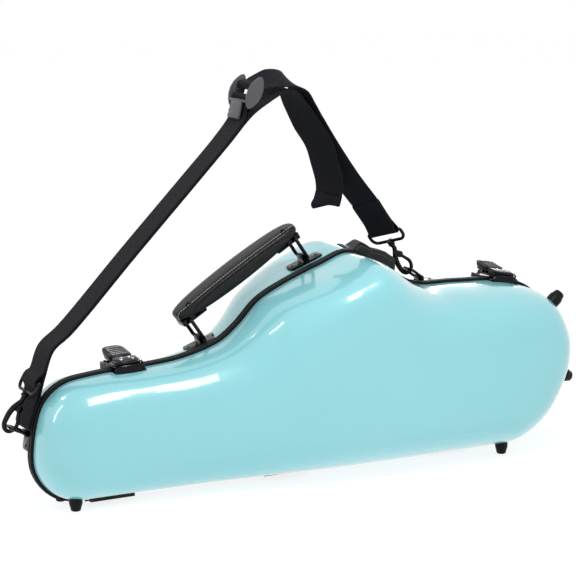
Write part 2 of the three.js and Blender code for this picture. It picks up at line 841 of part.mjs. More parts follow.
// A riveted bracket plate with a raised bridge over a rod
function bridgePlate(size, spot, y) {
  const frame = frameAt(spot, y, wallLift(spot, 1, y));
  const outer = size.rod + gap + size.strap;
  const body = joined([
    solid(slab(size.length, size.width, size.corner, -plateRoot, size.thickness)),
    solid(barAlongY(outer, size.bridge, 0, size.axis)),
    solid(box(outer * 2, size.bridge, size.axis, 0, 0, size.axis / 2)),
    ...rivets([[-size.rivet, 0], [size.rivet, 0]], rivetRadius, rivetHeight, size.thickness),
  ]).subtract(solid(barAlongY(size.rod + gap, size.bridge * 2, 0, size.axis)));
  const placed = solid(geometryOf(body), frame);
  return { geometry: geometryOf(seated(placed, 1)), axis: localPoint(frame, 0, 0, size.axis) };
}

// Carrying handle: two plates, two swinging rings and the padded grip
const handlePlate = {
  length: plateLength, width: plateWidth, thickness: plateThickness, corner: plateWidth / 4,
  bridge: bridgeLength, strap: bridgeWall, rod: ringRod, rivet: plateLength * rivetShare,
  axis: ringAxisHeight,
};
const lean = -radians(ringLean);
const ringFeet = [];
const gripPins = [];
[['left', leftPlateShare], ['right', rightPlateShare]].forEach(([name, share]) => {
  const plate = bridgePlate(handlePlate, topSpot(alongCase(share)), plateSetback);
  addPart(`handle_plate_${name}`, plate.geometry, nickelBlack);
  addPart(`handle_ring_${name}`, roundLoop(ringSpan, ringPitch, ringCorner, ringRod),
    nickelBlack, leanAt(plate.axis, lean));
  ringFeet.push(plate.axis);
  gripPins.push(plate.axis.clone().add(along(lean, ringPitch)));
});
const gripMiddle = gripPins[0].clone().add(gripPins[1]).multiplyScalar(0.5);
const pinLine = gripPins[1].clone().sub(gripPins[0]);
const pinHalf = pinLine.length() / 2;
const gripHalf = pinHalf + gripOverhang;
const gripFrame = new THREE.Matrix4().makeRotationY(-Math.atan2(pinLine.z, pinLine.x))
  .setPosition(gripMiddle);

// The grip: a rounded section that fills out and crowns towards its middle
function gripGeometry() {
  const vertices = [];
  const faces = [];
  for (let i = 0; i <= gripSteps; i += 1) {
    const turn = (i / gripSteps - 0.5) * Math.PI;
    const share = Math.sin(turn);
    const round = Math.max(1 - Math.abs(share) ** gripEndPower, 0) ** (1 / gripEndPower);
    const x = gripHalf * share;
    const swell = Math.cos(share * Math.PI / 2);
    const half = THREE.MathUtils.lerp(gripEndWidth, gripWidth, swell ** 0.5) / 2 * round;
    const top = ringRod + gap + gripEndThickness
      + (gripThickness - gripEndThickness) * swell;
    const bottom = (ringRod + gap) * (1 - swell) - gripBelly * swell;
    const middle = (top + bottom) / 2;
    const tall = (top - bottom) / 2 * (0.35 + 0.65 * round);
    for (let s = 0; s < gripSides; s += 1) {
      const angle = (s + 0.5) / gripSides * Math.PI * 2;
      const y = Math.sign(Math.cos(angle)) * Math.abs(Math.cos(angle)) ** gripSquareness;
      const z = Math.sign(Math.sin(angle)) * Math.abs(Math.sin(angle)) ** gripSquareness;
      vertices.push(new THREE.Vector3(x, y * Math.max(half, gap), middle + z * tall));
    }
  }
  for (let i = 0; i < gripSteps; i += 1) {
    for (let s = 0; s < gripSides; s += 1) {
      const a = i * gripSides + s;
      const b = i * gripSides + (s + 1) % gripSides;
      faces.push([a, b, b + gripSides], [a, b + gripSides, a + gripSides]);
    }
  }
  const end = gripSteps * gripSides;
  for (let s = 1; s < gripSides - 1; s += 1) {
    faces.push([0, s + 1, s], [end, end + s, end + s + 1]);
  }
  return meshFrom(vertices, faces, 1);
}
addPart('handle_grip', gripGeometry(), leatherBlack, gripFrame);
[['left', -1], ['right', 1]].forEach(([name, side]) => {
  const x = side * pinHalf;
  const blockTop = ringRod;
  const blockBottom = -ringRod - gap - coreThickness;
  const inner = x - side * coreLength;
  const body = joined([
    solid(slab(coreBlock, coreWidth, coreThickness, blockBottom, blockTop, x)),
    solid(slab(coreLength, coreWidth, coreThickness, blockBottom, blockBottom + coreThickness,
      (x + inner) / 2)),
  ]).subtract(solid(barAlongY(ringRod + gap, coreWidth * 2, x, 0)));
  const trimmed = body.subtract(gripCutter());
  addPart(`grip_saddle_${name}`, geometryOf(trimmed), nickelBlack, gripFrame);
});

// The grip grown by the gap, to trim the saddles under it
function gripCutter() {
  const grown = gripGeometry();
  grown.computeBoundingBox();
  const middle = grown.boundingBox.getCenter(new THREE.Vector3());
  const size = grown.boundingBox.getSize(new THREE.Vector3());
  return solid(grown, new THREE.Matrix4().makeTranslation(middle.x, middle.y, middle.z)
    .multiply(new THREE.Matrix4().makeScale(
      1 + gap * 2 / size.x, 1 + gap * 2 / size.y, 1 + gap * 2 / size.z))
    .multiply(new THREE.Matrix4().makeTranslation(-middle.x, -middle.y, -middle.z)));
}

// Grab pad behind the crest: bevelled padding with a cross seam, following the wall
const padStart = alongCase(padStartShare);
const padEnd = alongCase(padEndShare);
function grabPad() {
  const outer = [];
  const inner = [];
  const tabShare = padTabLength / (padEnd - padStart);
  const bevelShare = padBevel / (padEnd - padStart);
  for (let i = 0; i <= padSteps; i += 1) {
    const share = i / padSteps;
    const spot = topSpot(THREE.MathUtils.lerp(padStart, padEnd, share));
    const rise = THREE.MathUtils.smoothstep(share, tabShare, tabShare + bevelShare);
    const height = THREE.MathUtils.lerp(padTabThickness, padThickness, rise)
      + wallLift(spot, 1, padNear + padWidth / 2);
    outer.push([spot.point.x - spot.inward.x * height, spot.point.y - spot.inward.y * height]);
    inner.push([spot.point.x + spot.inward.x * padRoot, spot.point.y + spot.inward.y * padRoot]);
  }
  const body = solid(profileAlongY([...outer, ...inner.reverse()], padNear, padNear + padWidth));
  const seamSpot = topSpot(THREE.MathUtils.lerp(padStart, padEnd, padSeamShare));
  const seam = solid(box(padSeam, padWidth * 2, padThickness, 0, 0,
    padThickness * 1.5 - padSeam * 2 + wallLift(seamSpot, 1, padNear + padWidth / 2)),
  frameAt(seamSpot, padNear, 0));
  return geometryOf(seated(body.subtract(seam), 1));
}
addPart('grab_pad', grabPad(), leatherBlack);

// Draw latches: base, lever and claw on the back shell, catch on the front shell
const leverUnder = leverPivotHeight + lugRadius + gap;
const clawPivotDepth = leverPivotDepth + clawPivotOffset;
const hookRidgeFront = -catchNear - ridgeSetback - ridgeWall;
const barBack = hookRidgeFront - clawSlack;
const barFront = barBack - clawBar;
const catchFront = -catchNear - catchDepth;
const coverTop = catchHeight + gap + leverWall;
const coverFront = catchFront + keeperWall / 2;
const coverBack = coverFront + coverDepth;
function catchBody() {
  const depth = catchDepth;
  return joined([
    solid(slab(catchWidth, depth, keeperWall, -plateRoot, keeperWall, 0,
      -catchNear - depth / 2)),
    solid(slab(catchWidth, keeperWall, keeperWall / 3, -plateRoot, catchHeight, 0,
      catchFront + keeperWall / 2)),
    solid(box(catchWidth * ridgeShare, ridgeWall, clawPivotHeight + clawArmHeight / 2, 0,
      hookRidgeFront + ridgeWall / 2, (clawPivotHeight + clawArmHeight / 2) / 2)),
  ]);
}

function latchBase() {
  const lug = profileAlongX([
    ...Array.from({ length: lugSides + 1 }, (_, i) => {
      const turn = i / lugSides * Math.PI;
      return [leverPivotDepth + Math.cos(turn) * lugRadius,
        leverPivotHeight + Math.sin(turn) * lugRadius];
    }),
    [leverPivotDepth - lugRadius, 0], [leverPivotDepth + lugRadius, 0],
  ], -lugWidth / 2, lugWidth / 2);
  const middle = latchBaseNear + latchBaseLength / 2;
  return joined([
    solid(slab(latchBaseWidth, latchBaseLength, keeperWall, -plateRoot, latchBaseThickness,
      0, middle)),
    solid(lug),
    ...rivets([[-baseRivet, middle + baseRivet], [baseRivet, middle + baseRivet]], rivetRadius,
      rivetHeight, latchBaseThickness),
  ]).subtract(solid(barAlongX(latchPinRadius + gap, lugWidth * 2, 0, leverPivotDepth,
    leverPivotHeight)));
}

function leverBody() {
  const under = [];
  const over = [];
  for (let i = 0; i <= leverSteps; i += 1) {
    const share = i / leverSteps;
    const y = leverPivotDepth - leverNose + (leverReach + leverNose) * share;
    const z = leverUnder + leverRise * share ** leverRisePower;
    const inRibs = share > leverRibStart && share < leverRibEnd;
    const wave = Math.sin((share - leverRibStart) / (leverRibEnd - leverRibStart)
      * leverRibs * Math.PI * 2);
    under.push([y, z]);
    over.push([y, z + leverWall + (inRibs && wave > 0 ? leverRibHeight : 0)]);
  }
  const plateOutline = slab(leverWidth, (leverReach + leverNose) * 2, leverCorner,
    -leverRise, leverUnder * 2 + leverRise * 2, 0, leverPivotDepth - leverNose * 2);
  const plate = solid(profileAlongX([...under, ...over.reverse()],
    -leverWidth / 2, leverWidth / 2)).intersect(solid(plateOutline));
  const cheek = [
    [leverPivotDepth - leverNose, leverUnder + leverWall / 2],
    [leverPivotDepth - leverNose, leverPivotHeight - latchPinRadius],
    [leverPivotDepth, leverPivotHeight - cheekEye],
    [clawPivotDepth - cheekEye, clawPivotHeight - cheekEye],
    [clawPivotDepth + cheekEye, clawPivotHeight - cheekEye],
    [clawPivotDepth + cheekEye * 2, leverUnder + leverWall / 2],
  ];
  const cheeks = [-1, 1].map((side) => {
    const outer = side * leverWidth / 2;
    const inner = outer - side * leverWall;
    return solid(profileAlongX(cheek, Math.min(outer, inner), Math.max(outer, inner)));
  });
  return joined([plate, ...cheeks])
    .subtract(solid(barAlongX(latchPinRadius + gap, leverWidth * 2, 0, leverPivotDepth,
      leverPivotHeight)))
    .subtract(solid(barAlongX(latchPinRadius + gap, leverWidth * 2, 0, clawPivotDepth,
      clawPivotHeight)));
}
const armInner = leverWidth / 2 + armGap;
const armOuter = armInner + clawArmWidth;
function clawBody() {
  const arms = [-1, 1].flatMap((side) => {
    const x = side * (armInner + armOuter) / 2;
    return [
      solid(box(clawArmWidth, clawPivotDepth - barFront, clawArmHeight, x,
        (clawPivotDepth + barFront) / 2, clawPivotHeight)),
      solid(barAlongX(latchPinRadius + gap + clawEyeWall, clawArmWidth, x, clawPivotDepth,
        clawPivotHeight)),
      solid(box(clawArmWidth, clawBar, coverTop - clawPivotHeight, x,
        barFront + clawBar / 2, (coverTop + clawPivotHeight) / 2)),
    ];
  });
  const coverBottom = coverTop - leverWall;
  const coverMiddle = (coverFront + coverBack) / 2;
  return joined([
    ...arms,
    solid(box(armOuter * 2, clawBar, clawArmHeight, 0, barFront + clawBar / 2,
      clawPivotHeight)),
    solid(slab(armOuter * 2, coverBack - coverFront, keeperWall, coverBottom, coverTop, 0,
      coverMiddle)),
    ...rivets([[-coverRivet, coverMiddle - coverRivet / 2], [coverRivet, coverMiddle - coverRivet / 2],
      [-coverRivet, coverMiddle + coverRivet / 2], [coverRivet, coverMiddle + coverRivet / 2]],
    rivetRadius, rivetHeight, coverTop),
  ]).subtract(solid(barAlongX(latchPinRadius + gap, armOuter * 4, 0, clawPivotDepth,
    clawPivotHeight)));
}
latchShares.forEach((share, i) => {
  const frame = frameAt(topSpot(alongCase(share)), 0, 0);
  const name = latchNames[i];
  const base = solid(geometryOf(latchBase()), frame);
  addPart(`latch_base_${name}`, geometryOf(seated(base, 1)), nickelBlack);
  addPart(`latch_lever_${name}`, geometryOf(leverBody()), nickelBlack, frame);
  addPart(`latch_claw_${name}`, geometryOf(clawBody()), nickelBlack, frame);
  addPart(`lever_pin_${name}`, barAlongX(latchPinRadius, leverWidth, 0, leverPivotDepth,
    leverPivotHeight), nickelBlack, frame);
  addPart(`claw_pin_${name}`, barAlongX(latchPinRadius, armOuter * 2, 0, clawPivotDepth,
    clawPivotHeight), nickelBlack, frame);
  const keeper = solid(geometryOf(catchBody()), frame);
  addPart(`latch_catch_${name}`, geometryOf(seated(keeper, -1)), nickelBlack);
});

// Strap rings on their brackets
const deePlate = {
  length: bracketLength, width: bracketWidth, thickness: bracketThickness,
  corner: bracketWidth / 4, bridge: bracketBridge, strap: bracketWall, rod: deeRod,
  rivet: bracketLength * rivetShare, axis: deeAxisHeight,
};
// Snap hook: an open bowl with a sprung gate, and a swivelling eye for the webbing
function hookBodyGeometry() {
  const start = radians(hookTipAngle);
  const points = [];
  for (let i = 0; i <= bowlSteps; i += 1) {
    const turn = start - i / bowlSteps * (start + Math.PI);
    points.push(new THREE.Vector3(Math.cos(turn) * hookBowl, 0, Math.sin(turn) * hookBowl));
  }
  hookNeckShares.forEach(([side, up]) => points.push(
    new THREE.Vector3(-hookBowl * side, 0, hookLength * up)));
  const path = new THREE.CatmullRomCurve3(points, false, 'centripetal').getPoints(hookSteps);
  const body = solid(sweep(path, [acrossY], roundSection(hookRod, smallSides), false));
  const post = solid(new THREE.CylinderGeometry(swivelStem, swivelStem, hookLength / 4,
    smallSides).rotateX(Math.PI / 2).translate(0, 0, hookLength));
  const ears = [-1, 1].map((side) => solid(barAlongY(earRadius, earWall, gateX, gateZ,
    roundSides, side * (gateEye / 2 + gap + earWall / 2))));
  const pin = solid(barAlongY(gatePin, gateEye + earWall, gateX, gateZ, smallSides));
  const between = solid(barAlongY(gateRadius + gap, gateEye + gap * 2, gateX, gateZ));
  return geometryOf(joined([body, ...ears]).subtract(between).add(pin).add(post));
}

function gateGeometry() {
  const tip = new THREE.Vector3(
    Math.cos(radians(hookTipAngle)) * hookBowl, 0, Math.sin(radians(hookTipAngle)) * hookBowl);
  const pivot = new THREE.Vector3(gateX, 0, gateZ);
  const reach = tip.clone().sub(pivot);
  const end = pivot.clone().addScaledVector(reach, 1 - (hookGateRod / 2) / reach.length());
  const rod = solid(sweep([pivot, end], [acrossY], roundSection(hookGateRod, smallSides), false));
  const eye = solid(barAlongY(gateRadius, gateEye, gateX, gateZ));
  const hole = solid(barAlongY(gatePin + gap, gateEye * 2, gateX, gateZ, smallSides));
  return geometryOf(joined([rod, eye]).subtract(hole));
}

function swivelGeometry() {
  const collarBottom = hookLength + gap;
  const collar = solid(new THREE.CylinderGeometry(collarRadius, collarRadius, collarHeight,
    roundSides).rotateX(Math.PI / 2).translate(0, 0, collarBottom + collarHeight / 2));
  const socket = solid(new THREE.CylinderGeometry(swivelStem + gap, swivelStem + gap,
    hookLength / 4 + gap * 2, smallSides).rotateX(Math.PI / 2).translate(0, 0, hookLength));
  const loop = solid(roundLoop(webWidth + (swivelLoopRod + eyeSlack) * 2, eyeHeight, eyeCorner,
    swivelLoopRod).translate(0, 0, collarBottom + collarHeight - swivelLoopRod / 2));
  return geometryOf(collar.add(loop).subtract(socket));
}
const eyeReach = hookLength + gap + collarHeight - swivelLoopRod / 2 + eyeHeight;

function strapAnchor(name, spot, setback, deeLean, hookLean, eyeTurn) {
  const plate = bridgePlate(deePlate, spot, setback);
  addPart(`strap_bracket_${name}`, plate.geometry, nickelBlack);
  const outward = Math.atan2(-spot.inward.x, -spot.inward.y);
  const ringLeanHere = outward + radians(deeLean);
  addPart(`strap_ring_${name}`, roundLoop(deeWidth, deeReach, deeCorner, deeRod), nickelBlack,
    leanAt(plate.axis, ringLeanHere));
  const grip = plate.axis.clone().add(along(ringLeanHere, deeReach));
  const hookTurn = radians(hookLean);
  const seat = hookBowl - hookRod - deeRod - gap;
  const bowl = grip.clone().add(along(hookTurn, seat));
  const placement = leanAt(bowl, hookTurn);
  addPart(`hook_body_${name}`, hookBodyGeometry(), nickelBlack, placement);
  addPart(`hook_gate_${name}`, gateGeometry(), nickelBlack, placement);
  const turned = placement.clone().multiply(
    new THREE.Matrix4().makeRotationZ(radians(eyeTurn)));
  addPart(`hook_eye_${name}`, swivelGeometry(), nickelBlack, turned);
  const wide = new THREE.Vector3(0, 1, 0).transformDirection(turned);
  return { eye: bowl.clone().add(along(hookTurn, eyeReach)), wide, bowl };
}
const leftAnchor = strapAnchor('left', neckSpot(upCase(leftBracketShare)),
  leftBracketSetback, leftDeeLean, leftHookLean, 0);
const rightAnchor = strapAnchor('right', topSpot(padEnd + padToBracket),
  bracketSetback, rightDeeLean, rightHookLean, rightEyeTurn);

// Webbing: keys are places on it with the way it is wide there
function webbing(keys) {
  const curve = new THREE.CatmullRomCurve3(keys.map((key) => key[0]), false, 'centripetal');
  const steps = (keys.length - 1) * webSteps;
  const across = Array.from({ length: steps + 1 }, (_, i) => {
    const at = i / webSteps;
    const low = Math.min(Math.floor(at), keys.length - 2);
    return keys[low][1].clone().lerp(keys[low + 1][1], at - low);
  });
  return sweep(curve.getPoints(steps), across, flatSection(webWidth, webThickness), false);
}
const keyAt = ([x, z, twist, tilt]) => [
  new THREE.Vector3(x * caseLength, strapMiddle, z * strapPeak),
  acrossY.clone().lerp(rightAnchor.wide, twist).add(new THREE.Vector3(0, 0, tilt))];
const wrap = swivelLoopRod + gap * 2 + webThickness / 2;
const lay = (webThickness + gap) / 2;

// Buckle: two leaf-shaped cheeks on two bars, with a ribbed thumb tab on a third
const buckleTurn = radians(buckleLean);
const buckleAt = new THREE.Vector3(
  buckleShares[0] * caseLength, strapMiddle, buckleShares[1] * strapPeak);
const barOffset = along(buckleTurn, buckleBarSpacing / 2);
const topBar = buckleAt.clone().add(barOffset);
const lowBar = buckleAt.clone().sub(barOffset);
const barWrap = buckleBar + gap * 2 + webThickness / 2;
function buckleBody() {
  const leaf = Array.from({ length: leafSides }, (_, i) => {
    const turn = i / leafSides * Math.PI * 2;
    const up = Math.sin(turn);
    return [Math.cos(turn) * (1 - leafPinch * up * up) * buckleDeep / 2, up * buckleLong / 2];
  });
  const half = buckleWidth / 2;
  const cheeks = [[-half, -half + buckleCheek], [half - buckleCheek, half]].map(
    ([from, to]) => solid(profileAlongY(leaf, from, to)));
  const bars = [-1, 1].map((side) => solid(barAlongY(
    buckleBar, buckleWidth - buckleCheek, 0, side * buckleBarSpacing / 2)));
  const tabAxle = solid(barAlongY(tabBar, buckleWidth - buckleCheek, tabBarX, tabBarZ));
  const ridges = Array.from({ length: tabRibs * 2 + 1 }, (_, i) => [
    tabBarX - tabWall / 2 - (i % 2 ? tabRib : 0) + tabSlant * i / (tabRibs * 2),
    tabBarZ - tabLong * i / (tabRibs * 2)]);
  const back = tabBarX + tabWall / 2;
  const tab = solid(profileAlongY([
    [back + tabSlant, tabBarZ - tabLong], [back, tabBarZ], ...ridges],
    -tabWidth / 2, tabWidth / 2));
  return geometryOf(joined([...cheeks, ...bars, tabAxle, tab]));
}
addPart('strap_buckle', buckleBody(), plasticGrey, leanAt(buckleAt, buckleTurn));

// Strap: sewn round the lower bar, down the leg, through the left eye, back up under
// itself, then free as a hanging tail with a folded hem
const legUp = legShares.map(keyAt);
const legOver = legUp.slice(0, legKeys).map(([point, wide], i) => {
  const run = legUp[i + 1][0].clone().sub(point).normalize();
  return [point.clone().addScaledVector(run.cross(acrossY), lay * 2), wide];
}).reverse();
const around = (place, radius) => ([x, z]) => [
  new THREE.Vector3(place.x + x * radius, place.y, place.z + z * radius), acrossY];
const hemEnd = legUp[legUp.length - 1];
const hemUp = legUp[legUp.length - 2][0].clone().sub(hemEnd[0]).normalize();
const hemSide = hemUp.clone().cross(hemEnd[1]).normalize();
const hemAt = (up, out) => [
  hemEnd[0].clone().addScaledVector(hemUp, up).addScaledVector(hemSide, out), hemEnd[1]];
addPart('strap_webbing', webbing([
  ...buckleLoopShares.map(around(lowBar, barWrap)).reverse(), ...legOver,
  ...leftLoopShares.map(around(leftAnchor.eye, wrap)), ...legUp,
  hemAt(-lay, lay), hemAt(0, lay * 2), hemAt(hemLength, lay * 2),
]), webBlack);

// Lead: wraps the upper bar, passes over the top and is sewn round the right eye
function rightEndKeys(last) {
  const { eye, wide } = rightAnchor;
  const up = last.clone().sub(eye).normalize();
  const flat = wide.clone().addScaledVector(up, -wide.dot(up)).normalize();
  const side = up.clone().cross(flat);
  const at = (reach, offset, width) => [eye.clone().addScaledVector(up, reach)
    .addScaledVector(side, offset), width];
  const bend = [0, 1, 2, 3, 4].map((i) => at(-Math.sin(i / 4 * Math.PI) * wrap,
    Math.cos(i / 4 * Math.PI) * wrap, wide));
  return [
    at(sewnLength, lay, flat), at(wrap * 4, lay, wide), ...bend,
    at(wrap * 4, -lay, wide), at(sewnLength, -lay, flat),
  ];
}
const leadKeys = leadShares.map(keyAt);
const barBend = [6, 5, 4, 3, 2, 1].map((i) => {
  const turn = (i / 4 - 0.02) * Math.PI;
  return around(topBar, barWrap)([Math.cos(turn), Math.sin(turn)]);
});
addPart('strap_lead', webbing([
  around(topBar, barWrap)([2.4, -1.7]), ...barBend, ...leadKeys,
  ...rightEndKeys(leadKeys[leadKeys.length - 1][0]),
]), webBlack);

// Stand the model on the floor, centred on its own bounding box
const bounds = new THREE.Box3().setFromObject(model);
const centre = bounds.getCenter(new THREE.Vector3());
model.position.set(-centre.x, -centre.y, -bounds.min.z);

export default model;
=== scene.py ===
import math
import bmesh
import bpy
import numpy as np
from mathutils import Matrix, Vector


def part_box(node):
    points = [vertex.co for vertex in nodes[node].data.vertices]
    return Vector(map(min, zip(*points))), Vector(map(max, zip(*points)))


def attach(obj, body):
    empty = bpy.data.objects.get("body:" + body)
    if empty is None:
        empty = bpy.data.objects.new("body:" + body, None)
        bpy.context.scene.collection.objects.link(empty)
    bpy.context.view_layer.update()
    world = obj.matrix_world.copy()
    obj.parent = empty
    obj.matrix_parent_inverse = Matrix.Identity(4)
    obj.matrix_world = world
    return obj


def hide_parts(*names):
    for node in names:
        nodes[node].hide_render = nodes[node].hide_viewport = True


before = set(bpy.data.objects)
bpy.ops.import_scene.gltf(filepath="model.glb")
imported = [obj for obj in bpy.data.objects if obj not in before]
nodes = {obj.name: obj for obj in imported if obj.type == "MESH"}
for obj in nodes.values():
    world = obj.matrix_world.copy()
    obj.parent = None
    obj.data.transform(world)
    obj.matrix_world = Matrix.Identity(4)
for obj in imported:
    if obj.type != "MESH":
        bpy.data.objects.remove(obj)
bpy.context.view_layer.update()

# Shells, as in the source
CASE_LENGTH = 661.0
CASE_HEIGHT = 241.4
SPINE = 8.0
NECK_DEPTH = 51.5
BOW_DEPTH = 93.0
BELL_SWELL = 20.0
SHELL_WALL = 3.2
EDGE_REACH = 60.0
SHOULDER_RISE = 6.5
NECK_HUB = 64.0
BOW_HUB = 104.0
CREST_ZONE = 74.0
SHOULDER_ZONE = 62.0
DEPTH_BLEND = 51.0
FACE_DOME = 3.0
OUTLINE = [
    (0.2, 0), (0.0718, 0), (0.03, 0.042), (0.0023, 0.1544), (0.0039, 0.3225),
    (0.02, 0.456), (0.0525, 0.529), (0.11, 0.556), (0.2006, 0.5687), (0.2664, 0.587),
    (0.3349, 0.6421), (0.37, 0.711), (0.4095, 0.815), (0.46, 0.885), (0.53, 0.957),
    (0.5774, 1), (0.615, 0.972), (0.674, 0.868), (0.72, 0.815), (0.8008, 0.8046),
    (0.9, 0.785), (0.96, 0.723), (0.9961, 0.5593), (1, 0.4266), (0.9882, 0.3003),
    (0.95, 0.128), (0.9036, 0.0337), (0.8662, 0), (0.75, 0),
]
DEPTH_CENTRE, CREST_CENTRE, SHOULDER_CENTRE = 0.391, 0.518, 0.585
SPINE_POWER, TOP_POWER, CREST_POWER = 2.5, 2.85, 1.4
RIM_HALF, RIM_PROUD, RIM_SPINE_PROUD, RIM_BLEND = 4.6, 3.5, 0.9, 14.0
GAP = 0.3
LINER_WALL, LINER_FLOOR, LINER_CLEARANCE, LINER_SETBACK = 13.0, 14.0, 0.4, 1.0
SETBACK = RIM_HALF + GAP
HINGE_SHARE, HINGE_AXIS = 0.45, 4.4

# Where the source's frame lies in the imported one
_low, _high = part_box("hinge_pin_2")
_pin = np.array((_low + _high) / 2) * 1000
ORIGIN = _pin - np.array([(HINGE_SHARE - 0.5) * CASE_LENGTH, 0, HINGE_AXIS])


def to_world(points):
    return (np.asarray(points, float) + ORIGIN) / 1000


def unit(vector):
    return vector / np.linalg.norm(vector)


def run_along(points):
    """The length of a line of points up to each of them."""
    return np.concatenate([[0], np.cumsum(np.linalg.norm(np.diff(points, axis=0), axis=1))])


def signed_power(value, power):
    return math.copysign(abs(value) ** power, value)


# Outline trace
def centripetal(points, per):
    p = [np.array(q, float) for q in points]
    p = [2 * p[0] - p[1]] + p + [2 * p[-1] - p[-2]]
    out = []
    for i in range(len(p) - 3):
        a, b, c, d = p[i:i + 4]
        t0 = max(np.dot(b - a, b - a) ** 0.25, 1e-4)
        t1 = max(np.dot(c - b, c - b) ** 0.25, 1e-4)
        t2 = max(np.dot(d - c, d - c) ** 0.25, 1e-4)
        m1 = ((b - a) / t0 - (c - a) / (t0 + t1) + (c - b) / t1) * t1
        m2 = ((c - b) / t1 - (d - b) / (t1 + t2) + (d - c) / t2) * t1
        for k in range(per):
            t = k / per
            out.append(b + m1 * t + (-3 * b + 3 * c - 2 * m1 - m2) * t ** 2
                       + (2 * b - 2 * c + m1 + m2) * t ** 3)
    out.append(p[-2])
    return np.array(out)


def evenly(points, steps):
    run = run_along(points)
    at = np.linspace(0, run[-1], steps + 1)
    return np.stack([np.interp(at, run, points[:, k]) for k in range(points.shape[1])], 1)


TRACE_STEPS, TRACE_FINE = 1400, 60
trace = evenly(centripetal([((a - 0.5) * CASE_LENGTH, SPINE + b * CASE_HEIGHT)
                            for a, b in OUTLINE], TRACE_FINE), TRACE_STEPS)
trace[:, 1] = np.maximum(trace[:, 1], SPINE)
neck_tip, bow_tip = int(trace[:, 0].argmin()), int(trace[:, 0].argmax())


def trace_at(position):
    i = min(int(position), TRACE_STEPS - 1)
    return trace[i] + (trace[i + 1] - trace[i]) * (position - i)


def position_where(axis, value, start, stop):
    for i in range(int(start), int(stop)):
        here, there = trace[i][axis] - value, trace[i + 1][axis] - value
        if here == 0 or here * there < 0:
            return i + here / (here - there)
    return stop


neck_hub = trace[neck_tip][0] + NECK_HUB
bow_hub = trace[bow_tip][0] - BOW_HUB


def top_position(x):
    return position_where(0, x, neck_tip, bow_tip)


def hub_at(x):
    x = min(max(x, neck_hub), bow_hub)
    return np.array([x, (trace_at(top_position(x))[1] + SPINE) / 2])


class Spot:
    """A point of the outline, its way inwards and the point of the hub line that it faces."""

    def __init__(self, point, inward):
        self.point, self.inward = point, inward
        self.hub = hub_at(point[0])
        self.to_hub = self.hub - point
        self.across = max(self.to_hub @ inward, np.linalg.norm(self.to_hub) / 2)
        self.upness = (1 - inward[1]) / 2


def spot_at(position):
    ahead = trace_at(min(position + 2, TRACE_STEPS))
    behind = trace_at(max(position - 2, 0))
    run = unit(ahead - behind)
    return Spot(trace_at(position), np.array([run[1], -run[0]]))


def top_spot(x):
    return spot_at(top_position(x))


def spine_spot(x):
    return Spot(np.array([x, SPINE]), np.array([0.0, 1.0]))


def neck_spot(z):
    return spot_at(position_where(1, z, 0, neck_tip + TRACE_STEPS // 10))


def bow_spot(z):
    return spot_at(position_where(1, z, top_position(bow_hub), TRACE_STEPS))


RIBS, NECK_FAN, BOW_FAN = 84, 36, 44


def fan(start, stop, steps):
    return [spot_at(start + (stop - start) * i / steps) for i in range(steps + 1)]


def make_stations():
    rib = np.linspace(neck_hub, bow_hub, RIBS + 1)[1:-1]
    neck = fan(position_where(0, neck_hub, 0, neck_tip), top_position(neck_hub), NECK_FAN)
    bow = fan(top_position(bow_hub), position_where(0, bow_hub, bow_tip, TRACE_STEPS), BOW_FAN)
    return neck + [top_spot(x) for x in rib] + bow + [spine_spot(x) for x in rib[::-1]]


stations = make_stations()


def bell(x, centre, width):
    return math.exp(-((x - (centre - 0.5) * CASE_LENGTH) / width) ** 2)


def depth_at(x, upness):
    blend = 1 / (1 + math.exp(-(x - (DEPTH_CENTRE - 0.5) * CASE_LENGTH) / DEPTH_BLEND))
    return (NECK_DEPTH + (BOW_DEPTH - NECK_DEPTH) * blend
            + BELL_SWELL * bell(x, CREST_CENTRE, CREST_ZONE) * upness)


def skin_point(spot, side, inset, share, less):
    lift = bell(spot.point[0], CREST_CENTRE, CREST_ZONE) * spot.upness
    power = SPINE_POWER + (TOP_POWER - SPINE_POWER) * spot.upness + CREST_POWER * lift
    edge = max(1 - share ** power, 0) ** (1 / power)
    reach = min(EDGE_REACH, (spot.across - inset) * 0.9)
    rise = 0
    if side > 0:
        rise = (SHOULDER_RISE * spot.upness ** 4
                * bell(spot.point[0], SHOULDER_CENTRE, SHOULDER_ZONE)
                * (1 - (1 - share) ** 3) * math.sqrt(edge))
    slide = (inset + reach * (1 - edge) - rise) / spot.across
    place = spot.point + spot.to_hub * slide
    near = spot.upness + (0.5 - spot.upness) * max(slide, 0)
    depth = (depth_at(spot.hub[0], near) - less) * share + FACE_DOME * smooth(slide) * share
    return np.array([place[0], side * depth, place[1]])


def share_at(spot, setback, less=0.0):
    return setback / (depth_at(spot.hub[0], spot.upness) - less)


def smooth(t):
    t = min(max(t, 0), 1)
    return t * t * (3 - 2 * t)


def skin_rings(side, inset, less, setback, rings, fill):
    """Rings of points from the rim to the hub line, with a soft dome on the flat face."""
    starts = [share_at(s, setback, less) for s in stations]
    out = []
    for r in range(rings + 1):
        turn = math.sin(r / rings * math.pi / 2)
        out.append([skin_point(s, side, inset, low + (1 - low) * turn, less)
                    for s, low in zip(stations, starts)])
    last = out[-1]
    for f in range(1, fill + 1):
        t = f / fill
        ring = []
        for s, p in zip(stations, last):
            place = np.array([p[0], p[2]])
            slide = np.linalg.norm(place - s.point) / np.linalg.norm(s.to_hub)
            slide += (1 - slide) * t
            near = s.upness + (0.5 - s.upness) * slide
            depth = depth_at(s.hub[0], near) - less + FACE_DOME * smooth(slide)
            place = place + (s.hub - place) * t
            ring.append([place[0], side * depth, place[1]])
        out.append(ring)
    return np.array(out, float)


